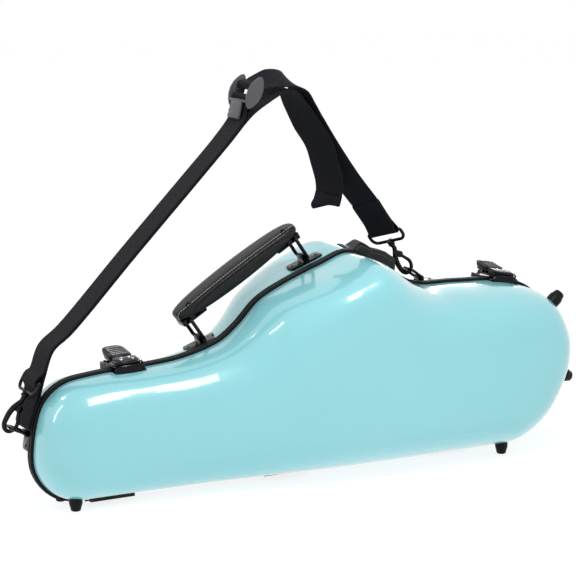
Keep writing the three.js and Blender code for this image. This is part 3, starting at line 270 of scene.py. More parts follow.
def quarter(steps):
    """Cosines and sines from 0 to 90 degrees."""
    return [(math.cos(i / steps * math.pi / 2), math.sin(i / steps * math.pi / 2))
            for i in range(steps + 1)]


def circle(radius, sides=20):
    return [(math.cos(i / sides * 2 * math.pi) * radius,
             math.sin(i / sides * 2 * math.pi) * radius) for i in range(sides)]


# Mesh helpers
def new_object(name, data):
    made = bpy.data.objects.new(name, data)
    bpy.context.scene.collection.objects.link(made)
    return made


def make(name, form, material, body, where=None, crease=None, node=None, merge=0.0):
    """A piece of (points, faces) on a body: in a frame, creased past an angle, for a node."""
    points, faces = form
    if where:
        points = placed(where, points)
    mesh = bpy.data.meshes.new(name)
    mesh.from_pydata([tuple(p) for p in to_world(points)], [], [tuple(f) for f in faces])
    bm = bmesh.new()
    bm.from_mesh(mesh)
    if merge:
        bmesh.ops.remove_doubles(bm, verts=bm.verts, dist=merge / 1000)
    bmesh.ops.recalc_face_normals(bm, faces=bm.faces)
    bm.to_mesh(mesh)
    bm.free()
    mesh.materials.append(material)
    mesh.shade_smooth()
    piece = new_object(name, mesh)
    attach(piece, body)
    if crease:
        crease_edges(mesh, crease)
    if node:
        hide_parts(node)
    return piece


def crease_edges(mesh, degrees):
    """Marks edges sharper than an angle, so the rest shades smooth."""
    bm = bmesh.new()
    bm.from_mesh(mesh)
    limit = math.radians(degrees)
    for edge in bm.edges:
        if len(edge.link_faces) == 2:
            edge.smooth = edge.calc_face_angle(0) < limit
    bm.to_mesh(mesh)
    bm.free()


def ring_faces(rows, count, closed=True, looped=False):
    """Quads between rows of points; closed rows join their ends, looped rows each other."""
    faces = []
    for r in range(rows if looped else rows - 1):
        a, b = r * count, (r + 1) % rows * count
        for j in range(count if closed else count - 1):
            k = (j + 1) % count
            faces.append((a + j, a + k, b + k, b + j))
    return faces


def tube_faces(rows, count):
    """Quads round rows of points, and a face over each end."""
    return ring_faces(rows, count) + [tuple(range(count - 1, -1, -1)),
                                      tuple(range((rows - 1) * count, rows * count))]


def shifted(faces, by):
    """The same faces turned over, on points that come later."""
    return [tuple(i + by for i in f[::-1]) for f in faces]


def walled(edge, by):
    """Faces between a closed line of points and the same line on the later points."""
    return [(a, a + by, b + by, b) for a, b in zip(edge, edge[1:] + edge[:1])]


def skin_between(outer, inner):
    """A closed wall between two skins, joined at their first rings."""
    count, by = len(stations), outer.shape[0] * len(stations)
    faces = ring_faces(outer.shape[0], count) + shifted(ring_faces(inner.shape[0], count), by)
    return (np.concatenate([outer.reshape(-1, 3), inner.reshape(-1, 3)]),
            faces + walled(list(range(count)), by))


def modify(obj, kind, **settings):
    added = obj.modifiers.new(kind.lower(), kind)
    for key, value in settings.items():
        setattr(added, key, value)


# Local frames: an origin and three axes
def frame_at(spot, y, lift):
    out = np.array([-spot.inward[0], 0, -spot.inward[1]])
    run = np.cross([0, 1, 0], out)
    origin = np.array([spot.point[0], y, spot.point[1]]) + out * lift
    return origin, np.stack([run, np.array([0.0, 1, 0]), out], 1)


def placed(where, points):
    origin, basis = where
    return np.asarray(points, float) @ basis.T + origin


def raised(spot, height, y):
    """A point at a height over the outline."""
    return spot.point[0] - spot.inward[0] * height, y, spot.point[1] - spot.inward[1] * height


def wall_lift(spot, side, y):
    place = skin_point(spot, side, 0, share_at(spot, y), 0)
    return (-(place[0] - spot.point[0]) * spot.inward[0]
            - (place[2] - spot.point[1]) * spot.inward[1])


def lean_at(point, lean):
    c, s = math.cos(lean), math.sin(lean)
    return np.asarray(point, float), np.array([[c, 0, s], [0, 1, 0], [-s, 0, c]])


def along(lean, reach):
    return np.array([math.sin(lean) * reach, 0, math.cos(lean) * reach])


# Materials
def new_material(name, colour, roughness, metallic=0.0, **sockets):
    material = bpy.data.materials.new(name)
    material.use_nodes = True
    shader = material.node_tree.nodes["Principled BSDF"]
    shader.inputs["Base Color"].default_value = (*colour, 1)
    shader.inputs["Roughness"].default_value = roughness
    shader.inputs["Metallic"].default_value = metallic
    for key, value in sockets.items():
        shader.inputs[key.replace("_", " ")].default_value = value
    return material


def add_node(tree, kind, sockets=None, **settings):
    """A node with its settings, and the value or the link of each socket named."""
    made = tree.nodes.new("ShaderNode" + kind)
    for key, value in settings.items():
        setattr(made, key, value)
    for key, value in (sockets or {}).items():
        if isinstance(value, bpy.types.NodeSocket):
            tree.links.new(value, made.inputs[key])
        else:
            made.inputs[key].default_value = value
    return made


class Build:
    """Short hand for wiring a material's nodes."""

    def __init__(self, material):
        self.tree = material.node_tree
        self.place = self.node("TexCoord").outputs["Object"]

    def node(self, kind, sockets=None, **settings):
        return add_node(self.tree, kind, sockets, **settings)

    def finish(self, socket, output):
        self.tree.links.new(output, self.tree.nodes["Principled BSDF"].inputs[socket])

    def math(self, operation, a, b=0.0):
        return self.node("Math", {0: a, 1: b}, operation=operation).outputs[0]

    def noise(self, scale, detail=3.0, rough=0.55):
        return self.node("TexNoise", {"Scale": scale, "Detail": detail, "Roughness": rough,
                                      "Vector": self.place}).outputs["Fac"]

    def ramp(self, value, low, high, to_low, to_high):
        return self.node("MapRange", dict(enumerate([value, low, high, to_low, to_high]))
                         ).outputs[0]

    def colour(self, factor, dark, light):
        mix = self.node("Mix", {0: factor, 6: (*dark, 1), 7: (*light, 1)}, data_type="RGBA")
        self.finish("Base Color", mix.outputs[2])

    def rough(self, *ramp):
        self.finish("Roughness", self.ramp(*ramp))

    def bump(self, height, strength, distance):
        bump = self.node("Bump", {"Strength": strength, "Distance": distance,
                                  "Height": height})
        self.finish("Normal", bump.outputs[0])


def mottled(name, colour, roughness, mix, rough=None, bump=None, grain=0.55, **sockets):
    """A finish of two mixed colours, with an uneven roughness and a fine bump if told.

    mix is (scale, detail, dark, light), rough is (scale, detail, low, high) and bump is
    (scale, detail, strength, distance)."""
    made = new_material(name, colour, roughness, **sockets)
    b = Build(made)
    scale, detail, dark, light = mix
    b.colour(b.noise(scale, detail, grain), dark, light)
    if rough:
        scale, detail, low, high = rough
        b.rough(b.noise(scale, detail), 0.3, 0.7, low, high)
    if bump:
        scale, detail, strength, distance = bump
        b.bump(b.noise(scale, detail, grain), strength, distance)
    return made


def steel(name, dark, light):
    return mottled(name, light, 0.18, (160, 4, dark, light), (260, 4, 0.12, 0.26), metallic=1.0)


def thread(name, dark, light):
    return mottled(name, light, 0.7, (1500, 2, dark, light), bump=(2500, 2, 0.3, 0.0002),
                   Sheen_Weight=0.2)


def leather_material():
    """Leather: a warped pebble grain over a broader unevenness."""
    made = new_material("leather_black", (0.007, 0.007, 0.008), 0.34, Specular_IOR_Level=0.24)
    b = Build(made)
    wobble = b.node("TexNoise", {"Scale": 300, "Vector": b.place}).outputs["Color"]
    warp = b.node("VectorMath", {0: wobble, 1: (0.0012, 0.0012, 0.0012), 2: b.place},
                  operation="MULTIPLY_ADD").outputs[0]
    pebble = b.node("TexVoronoi", {"Scale": 620, "Smoothness": 0.5, "Vector": warp},
                    feature="SMOOTH_F1").outputs["Distance"]
    b.bump(b.math("ADD", pebble, b.math("MULTIPLY", b.noise(60, 3), 0.6)), 0.35, 0.0006)
    b.colour(b.noise(40, 4), (0.004, 0.004, 0.005), (0.012, 0.012, 0.013))
    b.rough(pebble, 0.0, 0.8, 0.26, 0.42)
    return made


WARP_PITCH, WEFT_PITCH = 0.0019, 0.0016


def web_material():
    """Webbing: a plain weave that follows the strip's own directions."""
    made = new_material("webbing_black", (0.008, 0.008, 0.010), 0.72, Sheen_Weight=0.04,
                        Sheen_Roughness=0.4, Specular_IOR_Level=0.08)
    b = Build(made)
    strip = b.node("Attribute", attribute_name="strip").outputs["Vector"]
    split = b.node("SeparateXYZ", {0: strip})
    warp, weft = (b.math("SINE", b.math("MULTIPLY", way, 2 * math.pi / pitch))
                  for way, pitch in zip(split.outputs, (WARP_PITCH, WEFT_PITCH)))
    height = b.math("ADD", b.math("MULTIPLY", warp, weft),
                    b.math("MULTIPLY", b.noise(900, 3), 0.8))
    b.bump(height, 0.5, 0.0003)
    # The colour follows the weave's height: painted shade darkens its hollows and the raised
    # threads are lighter, with some random tone from the noise
    b.colour(b.ramp(height, -1, 1.6, 0, 1), (0.004, 0.004, 0.006), (0.013, 0.013, 0.018))
    return made


SHELL = mottled("shell_gloss", (0.27, 0.68, 0.74), 0.3,
                (9, 2, (0.262, 0.672, 0.732), (0.285, 0.695, 0.752)),
                bump=(260, 2, 0.02, 0.0004), Coat_Weight=1.0, Coat_Roughness=0.03, Coat_IOR=1.55)
RUBBER = mottled("rubber_black", (0.008, 0.008, 0.009), 0.42,
                 (60, 4, (0.005, 0.005, 0.006), (0.011, 0.011, 0.012)), (90, 4, 0.34, 0.5),
                 (1800, 3, 0.18, 0.0003), Specular_IOR_Level=0.12)
NICKEL = mottled("black_nickel", (0.02, 0.02, 0.022), 0.2,
                 (140, 4, (0.011, 0.011, 0.012), (0.027, 0.027, 0.03)), (220, 5, 0.08, 0.2),
                 (420, 3, 0.16, 0.0004), metallic=1.0)
STEEL = steel("bright_steel", (0.5, 0.5, 0.52), (0.72, 0.72, 0.74))
# The ribs' nickel is lighter than the lever's own: painted sheen for the light bands along the
# ribs
RIB_SHEEN_NICKEL = steel("nickel_rib_sheen", (0.07, 0.07, 0.075), (0.14, 0.14, 0.15))
LEATHER = leather_material()
WEB = web_material()
PLUSH = mottled("plush_dark", (0.03, 0.03, 0.036), 0.95,
                (700, 5, (0.016, 0.016, 0.02), (0.05, 0.05, 0.058)),
                bump=(1500, 4, 0.6, 0.0012), grain=0.7, Sheen_Weight=0.6, Sheen_Roughness=0.5)
PLASTIC = mottled("plastic_grey", (0.1, 0.1, 0.11), 0.38,
                  (30, 3, (0.05, 0.048, 0.058), (0.085, 0.082, 0.095)), (300, 3, 0.3, 0.45),
                  (1400, 2, 0.1, 0.0002))
THREAD = thread("thread_white", (0.35, 0.35, 0.36), (0.62, 0.62, 0.63))
THREAD_GREY = thread("thread_grey", (0.05, 0.05, 0.055), (0.1, 0.1, 0.11))

# Shells, as rings of points from the rim inwards
SIDES = [("back", 1, "case_back"), ("front", -1, "lid")]
for half, side, body in SIDES:
    outer = skin_rings(side, 0, 0, SETBACK, 26, 6)
    inner = skin_rings(side, SHELL_WALL, SHELL_WALL, SETBACK, 8, 2)
    make(f"{half}_shell_skin", skin_between(outer, inner), SHELL, body,
         crease=40, node=f"{half}_shell", merge=0.02)


# Edge trims
def rim_section(half, proud):
    """The rounded bead over a rim; the back one also has a lip inside the lid."""
    top = min(1.5, proud * 0.6)
    rows = [(proud - top + s * top, GAP / 2 + top - c * top) for c, s in quarter(4)]
    rows += [(proud - top + c * top, RIM_HALF - top + s * top) for c, s in quarter(6)]
    if half == "back":
        outer = SHELL_WALL + GAP
        inner = outer + 1.8
        return rows + [(-inner, RIM_HALF), (-inner, -3), (-outer, -3), (-outer, GAP / 2)]
    return rows + [(-SHELL_WALL, RIM_HALF), (-SHELL_WALL, GAP / 2)]


for half, side, body in SIDES:
    points = []
    for spot in stations:
        flat = 0.0
        if spot.inward[1] > 0.999:
            flat = smooth((spot.point[0] - neck_hub + RIM_BLEND * 2) / RIM_BLEND)
        section = rim_section(half, RIM_PROUD + (RIM_SPINE_PROUD - RIM_PROUD) * flat)
        points += [raised(spot, r, side * y) for r, y in section]
    faces = ring_faces(len(stations), len(section), looped=True)
    make(f"{half}_edge_trim", (points, faces), RUBBER, body, crease=42,
         node=f"{half}_rim")

# Linings
for half, side, body in SIDES:
    start = SETBACK + LINER_SETBACK
    skin = SHELL_WALL + LINER_CLEARANCE
    outer = skin_rings(side, skin, skin, start, 6, 2)
    recess = skin_rings(side, LINER_WALL, LINER_FLOOR, start, 16, 4)
    make(f"{half}_lining", skin_between(outer, recess), PLUSH, body, crease=50,
         node=f"{half}_liner", merge=0.02)


def softened(name, node, voxel=0.003, rounds=4):
    """A stuffed form grown from a plain solid: remeshed and relaxed."""
    copy = new_object(name, nodes[node].data.copy())
    modify(copy, "REMESH", mode="VOXEL", voxel_size=voxel)
    modify(copy, "SMOOTH", factor=0.5, iterations=rounds)
    bpy.context.view_layer.update()
    shape = bpy.data.meshes.new_from_object(
        copy.evaluated_get(bpy.context.evaluated_depsgraph_get()))
    copy.modifiers.clear()
    copy.data = shape
    shape.materials.clear()
    shape.materials.append(PLUSH)
    shape.shade_smooth()
    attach(copy, "case_back")
    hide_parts(node)


softened("divider_pad", "accessory_divider")
softened("cradle_pad", "neck_cradle")


# Sweeps
def sweep(path, across, section, closed=False, grow=None):
    """Points and faces of a closed section carried along a path, growing as told."""
    path = np.asarray(path, float)
    count, sides = len(path), len(section)
    points = []
    for i in range(count):
        ahead = path[(i + 1) % count if closed else min(i + 1, count - 1)]
        behind = path[(i - 1) % count if closed else max(i - 1, 0)]
        run = unit(ahead - behind)
        wide = np.array(across[min(i, len(across) - 1)], float)
        wide = unit(wide - run * (wide @ run))
        size = grow(i / (count - 1)) if grow else 1.0
        points += [path[i] + (wide * a + np.cross(run, wide) * b) * size for a, b in section]
    faces = ring_faces(count, sides, looped=True) if closed else tube_faces(count, sides)
    return np.array(points), faces


def round_loop(width, height, corner, rod, low=None, steps=8):
    """A closed loop of rod; its two low corners may have a radius of their own."""
    low = low or corner
    path = []
    for n, (y, z, radius) in enumerate([(width / 2 - corner, height - corner, corner),
                                        (-width / 2 + corner, height - corner, corner),
                                        (-width / 2 + low, low, low),
                                        (width / 2 - low, low, low)]):
        for i in range(steps + 1):
            turn = (n + i / steps) * math.pi / 2
            path.append((0, y + math.cos(turn) * radius, z + math.sin(turn) * radius))
    return sweep(path, [(1, 0, 0)], circle(rod), True)


def merged(parts):
    points, faces, count = [], [], 0
    for p, f in parts:
        points.append(np.asarray(p, float))
        faces += [tuple(i + count for i in face) for face in f]
        count += len(p)
    return np.concatenate(points), faces


def turned(profile, sides=28):
    """A profile of (radius, height) turned about the local Z axis."""
    points = [(x, y, z) for r, z in profile for x, y in circle(r, sides)]
    return np.array(points), tube_faces(len(profile), sides)


def disc(radius, half, ease, drop, sides, inner=0.02):
    """A disc about Z whose edges are eased inwards and drop by as much as told."""
    edge = [(inner, half), (radius - ease, half), (radius, half - drop)]
    return turned([(r, -z) for r, z in edge] + edge[::-1], sides)


def crosswise(points):
    """Points about the Z axis, laid along the Y axis."""
    return points[:, [0, 2, 1]] * [1, 1, -1]


def dome(radius, height, x, y, base, sides=20):
    """A rivet's head, from its radius, height and place."""
    profile = [(radius, base)] + [(max(radius * c, 0.02), base + height * s)
                                  for c, s in quarter(6)]
    points, faces = turned(profile, sides)
    return points + [x, y, 0], faces


# Feet
FOOT_RADIUS, FOOT_TIP, FOOT_STAND, END_FOOT_WIDER = 7.4, 5.6, 16.0, 1.12
FEET = [
    ("neck", spine_spot((0.061 - 0.5) * CASE_LENGTH), 21.0),
    ("bow", spine_spot((0.863 - 0.5) * CASE_LENGTH), 46.0),
    ("end_top", bow_spot(SPINE + 0.7 * CASE_HEIGHT), 46.0),
    ("end_low", bow_spot(SPINE + 0.325 * CASE_HEIGHT), 46.0),
]
foot_profile = [(0.02, 0), (FOOT_TIP - 2.2, 0.0), (FOOT_TIP - 1.0, 0.3), (FOOT_TIP - 0.25, 1.0),
                (FOOT_TIP, 1.9), (6.4, 5.2), (7.1, 7.6), (FOOT_RADIUS, 8.6), (FOOT_RADIUS, 9.6),
                (FOOT_RADIUS, 18.0)]
for half, side, body in SIDES:
    for name, spot, depth in FEET:
        on_spine = name in ("neck", "bow")
        tip = SPINE if on_spine else wall_lift(spot, side, depth) + FOOT_STAND
        points, faces = turned([(r * (1 if on_spine else END_FOOT_WIDER), z)
                                for r, z in foot_profile])
        make(f"{name}_{half}_foot", (points * [1, 1, -1], faces), RUBBER, body,
             frame_at(spot, side * depth, tip), 35, f"foot_{name}_{half}")


# Metal pieces whose solids are right: bevelled edges and the nickel finish
def dress(node, material, bevel=0.0004, segments=2):
    obj = nodes[node]
    obj.data.materials.clear()
    obj.data.materials.append(material)
    obj.data.shade_smooth()
    modify(obj, "WELD", merge_threshold=0.00001)
    modify(obj, "BEVEL", width=bevel, segments=segments, limit_method="ANGLE",
           angle_limit=math.radians(38), harden_normals=True)


METAL = [n for n in nodes if n.startswith((
    "hinge_", "handle_plate", "grip_saddle", "latch_base", "lever_pin", "claw_pin",
    "strap_bracket"))]
for node in METAL:
    dress(node, NICKEL, 0.0003 if "pin" in node else 0.0004)

# Draw latches: ribbed lever, claw with its riveted cover, and catch
LEVER_START, LEVER_END, LEVER_HALF, LEVER_UNDER, LEVER_RISE = 6.6, 37.5, 13.5, 12.1, 5.0
LEVER_THICK, LEVER_CROWN = 1.6, 0.5
LEVER_MIDDLE, LEVER_REACH = (LEVER_START + LEVER_END) / 2, (LEVER_END - LEVER_START) / 2
LEVER_LEVELS = [
    (0.02, 0), (0.25, 0), (0.45, 0), (0.6, 0), (0.72, -0.05), (0.82, -0.1), (0.87, -0.15),
    (0.94, -0.2), (0.985, -0.5), (1.0, -1.0), (1.0, -1.9), (0.97, -2.3), (0.93, -2.4),
    (0.93, -2.9), (0.965, -3.1), (0.965, -4.7), (0.93, -5.1), (0.9, -5.3), (0.89, -5.8),
    (0.89, -8.2), (0.83, -8.2), (0.83, -3.2), (0.02, -3.0),
]
RIB_SHARES = (0.16, 0.31, 0.46, 0.61, 0.76)
CLAW_DEEP, CLAW_HIGH, CLAW_BAR, CLAW_ROD, ARM_IN, ARM_OUT = 19.5, 5.2, -11.6, 1.15, 14.1, 16.3
COVER_TOP, COVER_FRONT, COVER_BACK, TONGUE_FRONT = 10.4, -15.0, 3.4, -9.6
COVER_LEVELS = [(-6, -1.6), (0.7, -1.6), (1, -1.3), (1, -0.4), (0.6, 0), (-1.2, 0), (-1.6, 0.3),
                (-1.8, 0.9), (-2.3, 1.1), (-9, 1.1)]
FILLER_LEVELS = [(-0.6, 6.5), (0.6, 6.5), (1, 6.9), (1, COVER_TOP - 1.4)]
TONGUE_LEVELS = [(0.2, 0), (0.6, 0), (1, 0.4), (1, 1.4), (0.5, 1.9), (-0.6, 2.1), (-6, 2.2)]
RIVETS = [(-6.8, -5.6, 1.6), (6.8, -5.6, 1.6), (-4.4, -0.6, 2.3), (4.4, -0.6, 2.3),
          (12.9, -11.2, 0.1)]
CATCH_HALF, CATCH_NEAR, CATCH_TOP, RIDGE_HALF, RIDGE_AT = 18.0, 5.4, 8.5, 11.4, -8.5


def lever_top(share):
    return LEVER_UNDER + LEVER_THICK + LEVER_RISE * share ** 1.4


def lever_cap():
    """A long rounded plate over a second layer and a hollow skirt."""
    points, sides = [], 72
    for size, drop in LEVER_LEVELS:
        for c, s in circle(1, sides):
            a = signed_power(c, 0.5) * size
            b = signed_power(s, 0.34 if s < 0 else 0.62) * size
            top = lever_top(min(max((b + 1) / 2, 0), 1)) + drop
            points.append((a * LEVER_HALF, LEVER_MIDDLE + b * LEVER_REACH,
                           top - LEVER_CROWN * a * a))
    return np.array(points), tube_faces(len(LEVER_LEVELS), sides)


def rib_bar(share):
    """A rounded bar across the lever."""
    y = LEVER_START + (LEVER_END - LEVER_START) * share
    half = LEVER_HALF * (0.74 - 0.16 * max(share - 0.6, 0))
    spine = [(x, y, lever_top(share) - LEVER_CROWN * (x / LEVER_HALF) ** 2)
             for x in np.linspace(-half, half, 9)]
    return sweep(spine, [(0, 1, 0)], [(1.35, -0.6), (1.35, 0.5), (0.9, 1.15), (-0.9, 1.15),
                                      (-1.35, 0.5), (-1.35, -0.6)])


def lofted_plate(half, front, back, base, levels, front_power, sides=64):
    """A plate with a rounded front, built from levels of (size, height over a base)."""
    middle, reach = (front + back) / 2, (back - front) / 2
    points = []
    for size, height in levels:
        for c, s in circle(1, sides):
            power = front_power if s < 0 else 0.3
            points.append((signed_power(c, power) * (half - 1 + size),
                           middle + signed_power(s, power) * (reach - 1 + size), base + height))
    return np.array(points), tube_faces(len(levels), sides)


def claw_form():
    """A stepped cover with a sloping tongue, two arms with eyes, and the bar between them."""
    cover = lofted_plate(ARM_OUT, COVER_FRONT, COVER_BACK, COVER_TOP, COVER_LEVELS, 0.62)
    filler = lofted_plate(ARM_IN + 0.6, CLAW_BAR, COVER_BACK - 0.4, 0, FILLER_LEVELS, 0.3)
    tongue, faces = lofted_plate(LEVER_HALF, TONGUE_FRONT, LEVER_START - 1.9, COVER_TOP,
                                 TONGUE_LEVELS, 0.6)
    slope = np.clip((tongue[:, 1] - TONGUE_FRONT) / (LEVER_START + 9), 0, 1)
    tongue[:, 2] += np.where(tongue[:, 2] > COVER_TOP + 0.3,
                             0.7 * slope - 0.9 * (1 - slope) ** 2, 0)
    parts = [cover, filler, (tongue, faces)]
    for side in (-1, 1):
        x = side * (ARM_IN + ARM_OUT) / 2
        arm = [(x, CLAW_BAR, COVER_TOP - 1.5), (x, CLAW_BAR - 0.4, 7.6),
               (x, CLAW_BAR + 0.8, CLAW_HIGH), (x, 0, CLAW_HIGH), (x, CLAW_DEEP, CLAW_HIGH)]
        parts.append(sweep(centripetal(arm, 6), [(1, 0, 0)], circle(CLAW_ROD, 12)))
        eye, faces = disc(2.6, 1.1, 0.4, 0.4, 22)
        parts.append((eye[:, [2, 0, 1]] + [x, CLAW_DEEP, CLAW_HIGH], faces))
    bar = [(x, CLAW_BAR, CLAW_HIGH) for x in (-ARM_OUT + 1, 0, ARM_OUT - 1)]
    parts.append(sweep(bar, [(0, 1, 0)], circle(CLAW_ROD, 12)))
    return merged(parts)


def catch_form(spot):
    """A catch with a convex front that follows the shell, and the ridge for the claw."""
    wall = {y: wall_lift(spot, -1, y) for y in (CATCH_NEAR, 11.0, 18.6)}
    points, columns = [], 41
    for i in range(columns):
        u = i / (columns - 1) * 2 - 1
        end = math.sqrt(max(1 - abs(u) ** 5, 0.0))
        bow = 1.5 * u * u
        top = CATCH_TOP - 0.4 - 0.9 * abs(u) ** 3
        low = wall[18.6] - 0.8 + 2.2 * u * u
        shape = [(-CATCH_NEAR, wall[CATCH_NEAR] - 1.4), (-CATCH_NEAR, 1.9 * end),
                 (-11.9, 2.1 * end), (-12.5, top * end - 0.7), (-13.2, top * end),
                 (-14.6 + bow * 0.4, top * end),
                 (-15.8 + bow, top * end - 0.9), (-16.5 + bow, top * end - 2.6),
                 (-17.3 + bow, 1.2), (-17.9 + bow, -1.6), (-18.3 + bow, low + 1.4),
                 (-18.2 + bow, low), (-17.0 + bow, low - 0.6), (-14.0, wall[11.0] - 4.0)]
        points += [(u * CATCH_HALF, y, z) for y, z in shape]
    block = np.array(points), tube_faces(columns, len(shape))
    ridge = sweep([(x, RIDGE_AT, 3.0) for x in (-RIDGE_HALF, 0, RIDGE_HALF)], [(0, 1, 0)],
                  [(0.9, -3), (0.9, 2.6), (0.5, 3.1), (-0.5, 3.1), (-0.9, 2.6), (-0.9, -3)])
    return merged([block, ridge])


for name, place in [("left", -221.0), ("right", 262.0)]:
    spot = top_spot(place)
    where = frame_at(spot, 0, 0)
    lever, claw = f"lever_{name}", f"claw_{name}"
    make(f"{lever}_cap", lever_cap(), NICKEL, lever, where, 48,
         f"latch_lever_{name}")
    # Ribs in the lighter nickel: painted sheen along them
    make(f"{lever}_ribs", merged([rib_bar(share) for share in RIB_SHARES]), RIB_SHEEN_NICKEL, lever,
         where, 45)
    make(f"{claw}_cover", claw_form(), NICKEL, claw, where, 40,
         f"latch_claw_{name}")
    make(f"{claw}_rivets", merged([dome(1.9, 1.2, x, y, COVER_TOP + z) for x, y, z in RIVETS]),
         STEEL, claw, where)
    make(f"catch_{name}_block", catch_form(spot), NICKEL, "lid", where, 50,
         f"latch_catch_{name}")


# Handle rings, strap rings and snap hooks
def bridge_axis(spot, y, axis):
    origin, basis = frame_at(spot, y, wall_lift(spot, 1, y))
    return origin + basis @ np.array([0, 0, axis])


RING_ROD, RING_PITCH, RING_SPAN, RING_CORNER = 2.1, 29.0, 27.0, 4.5
RING_LEAN = -math.radians(35)
ring_feet = {"left": bridge_axis(top_spot(-119), 21.0, 6.5),
             "right": bridge_axis(top_spot(12.5), 21.0, 6.5)}
for name, foot in ring_feet.items():
    make(f"ring_{name}_bar", round_loop(RING_SPAN, RING_PITCH, RING_CORNER, RING_ROD), NICKEL,
         f"ring_{name}", lean_at(foot, RING_LEAN), node=f"handle_ring_{name}")

WEB_WIDTH, WEB_THICK = 38.0, 1.8
DEE = dict(width=22, height=20, corner=6, rod=1.7)
HOOK_LENGTH, HOOK_BOWL, HOOK_ROD, TIP = 31.0, 9.4, 2.6, math.radians(35)
HOOK_SLIM = 0.78
GATE = np.array([0.9, 0, 17.0])
COLLAR_BOTTOM = HOOK_LENGTH + GAP
COLLAR = [(2.3, 0), (3.6, 0), (4.0, 0.5), (4.0, 2.4), (3.3, 3.0), (3.3, 4.0), (4.0, 4.6),
          (4.0, 6.5), (3.4, 7.2), (0.02, 7.2)]
EYE_ROD, EYE_PLAY, EYE_TALL, EYE_BASE = 1.9, 2.2, 14.0, COLLAR_BOTTOM + 7.0 - 0.95
NECK = [(1, 0.13), (0.95, 0.29), (0.7, 0.52), (0.3, 0.7), (0, 0.84), (0, 1)]


def hook_body():
    """A slim bowl and neck of round rod, the swivel's post, and the gate's ears and pin."""
    path = [(math.cos(turn) * HOOK_BOWL, 0, math.sin(turn) * HOOK_BOWL)
            for turn in np.linspace(TIP, -math.pi, 9)]
    path += [(-HOOK_BOWL * a, 0, HOOK_LENGTH * b) for a, b in NECK]
    rod = sweep(centripetal(path, 6) * [HOOK_SLIM, 1, 1], [(0, 1, 0)], circle(HOOK_ROD),
                grow=lambda t: 0.8 + 0.4 * smooth(t * 1.6 - 0.25) - 0.22 * smooth((t - 0.75) * 4))
    parts = [rod, turned([(1.9, HOOK_LENGTH - 4), (1.9, HOOK_LENGTH + 4)], 16)]
    for side in (-1, 1):
        ear, faces = disc(3.9, 0.8, 0.5, 0.4, 24)
        parts.append((crosswise(ear) + GATE + [0, side * 2.4, 0], faces))
    pin, faces = disc(1.2, 3.6, 0.2, 0.3, 14)
    return merged(parts + [(crosswise(pin) + GATE, faces)])


def gate_rod():
    tip = np.array([math.cos(TIP) * HOOK_BOWL * HOOK_SLIM, 0, math.sin(TIP) * HOOK_BOWL])
    reach = tip - GATE
    end = GATE + reach * (1 - 1.2 / np.linalg.norm(reach))
    rod = sweep(np.linspace(GATE, end, 6), [(0, 1, 0)], circle(1.9, 16))
    eye, faces = disc(2.4, 1.5, 0.2, 0.3, 20, inner=0.9)
    return merged([rod, (crosswise(eye) + GATE, faces)])


def swivel_eye():
    """A grooved collar under a flat loop that the webbing runs through."""
    collar = turned([(r, COLLAR_BOTTOM + z) for r, z in COLLAR], 24)
    points, faces = round_loop(WEB_WIDTH + (EYE_ROD + EYE_PLAY) * 2, EYE_TALL, 3, EYE_ROD, 7.5)
    return merged([collar, (points + [0, 0, EYE_BASE], faces)])


def rotate_z(points, degrees):
    c, s = math.cos(math.radians(degrees)), math.sin(math.radians(degrees))
    return points @ np.array([[c, -s, 0], [s, c, 0], [0, 0, 1]]).T


anchors = {}
for name, spot, setback, dee_lean, hook_lean, eye_turn in [
        ("left", neck_spot(83), 14.0, 15, 29, 0),
        ("right", top_spot(163), 18.0, -55, -35.4, 28)]:
    axis = bridge_axis(spot, setback, 4.4)
    outward = math.atan2(-spot.inward[0], -spot.inward[1])
    lean = outward + math.radians(dee_lean)
    loop = round_loop(DEE["width"], DEE["height"], DEE["corner"], DEE["rod"])
    make(f"dee_{name}_bar", loop, NICKEL, f"dee_{name}", lean_at(axis, lean),
         node=f"strap_ring_{name}")
    turn = math.radians(hook_lean)
    bowl = axis + along(lean, DEE["height"]) + along(turn, HOOK_BOWL - HOOK_ROD - DEE["rod"] - GAP)
    where = lean_at(bowl, turn)
    make(f"hook_{name}_bar", hook_body(), NICKEL, "case_back", where, 45,
         f"hook_body_{name}")
    make(f"gate_{name}_bar", gate_rod(), NICKEL, f"gate_{name}", where, 45,
         f"hook_gate_{name}")
    points, faces = swivel_eye()
    make(f"eye_{name}_bar", (rotate_z(points, eye_turn), faces), NICKEL, "case_back",
         where, 45, f"hook_eye_{name}")
    wide = where[1] @ rotate_z(np.array([[0.0, 1, 0]]), eye_turn)[0]
    anchors[name] = (bowl + along(turn, EYE_BASE + EYE_TALL), wide)


# Webbing, with a surface direction for its weave
STRAP_PEAK, STRAP_MIDDLE = 456.0, 20.0
HEM, SEWN = 12.0, 42.0
LEG = [
    (-0.4584, 0.3761, 0, 0), (-0.4251, 0.4151, 0, 0), (-0.3116, 0.5833, 0, 0),
    (-0.1906, 0.7599, 0, 0), (-0.1393, 0.8355, 0, 0), (-0.095, 0.902, 0, 0),
    (-0.059, 0.9353, 0, 0), (-0.0386, 0.9539, 0, 0.15), (-0.0203, 0.9559, 0.3, 0.2),
    (-0.0015, 0.9175, 0.7, 0.1), (0.0224, 0.8634, 1, 0), (0.0445, 0.816, 1, 0),
    (0.0555, 0.77, 1, 0), (0.065, 0.72, 1, 0), (0.0645, 0.684, 1, 0),
    (0.0605, 0.6625, 1, 0),
]
LEG_KEYS = 5
LEAD = [
    (-0.0745, 0.972, 0, 0.25), (-0.0439, 0.982, 0, 0.5), (-0.0182, 0.978, 0.1, 0.5),
    (0.0025, 0.9523, 0.5, 0.3), (0.0156, 0.909, 0.85, 0.1), (0.0302, 0.8684, 1, 0),
    (0.0946, 0.733, 1, 0), (0.1392, 0.6535, 1, 0),
]
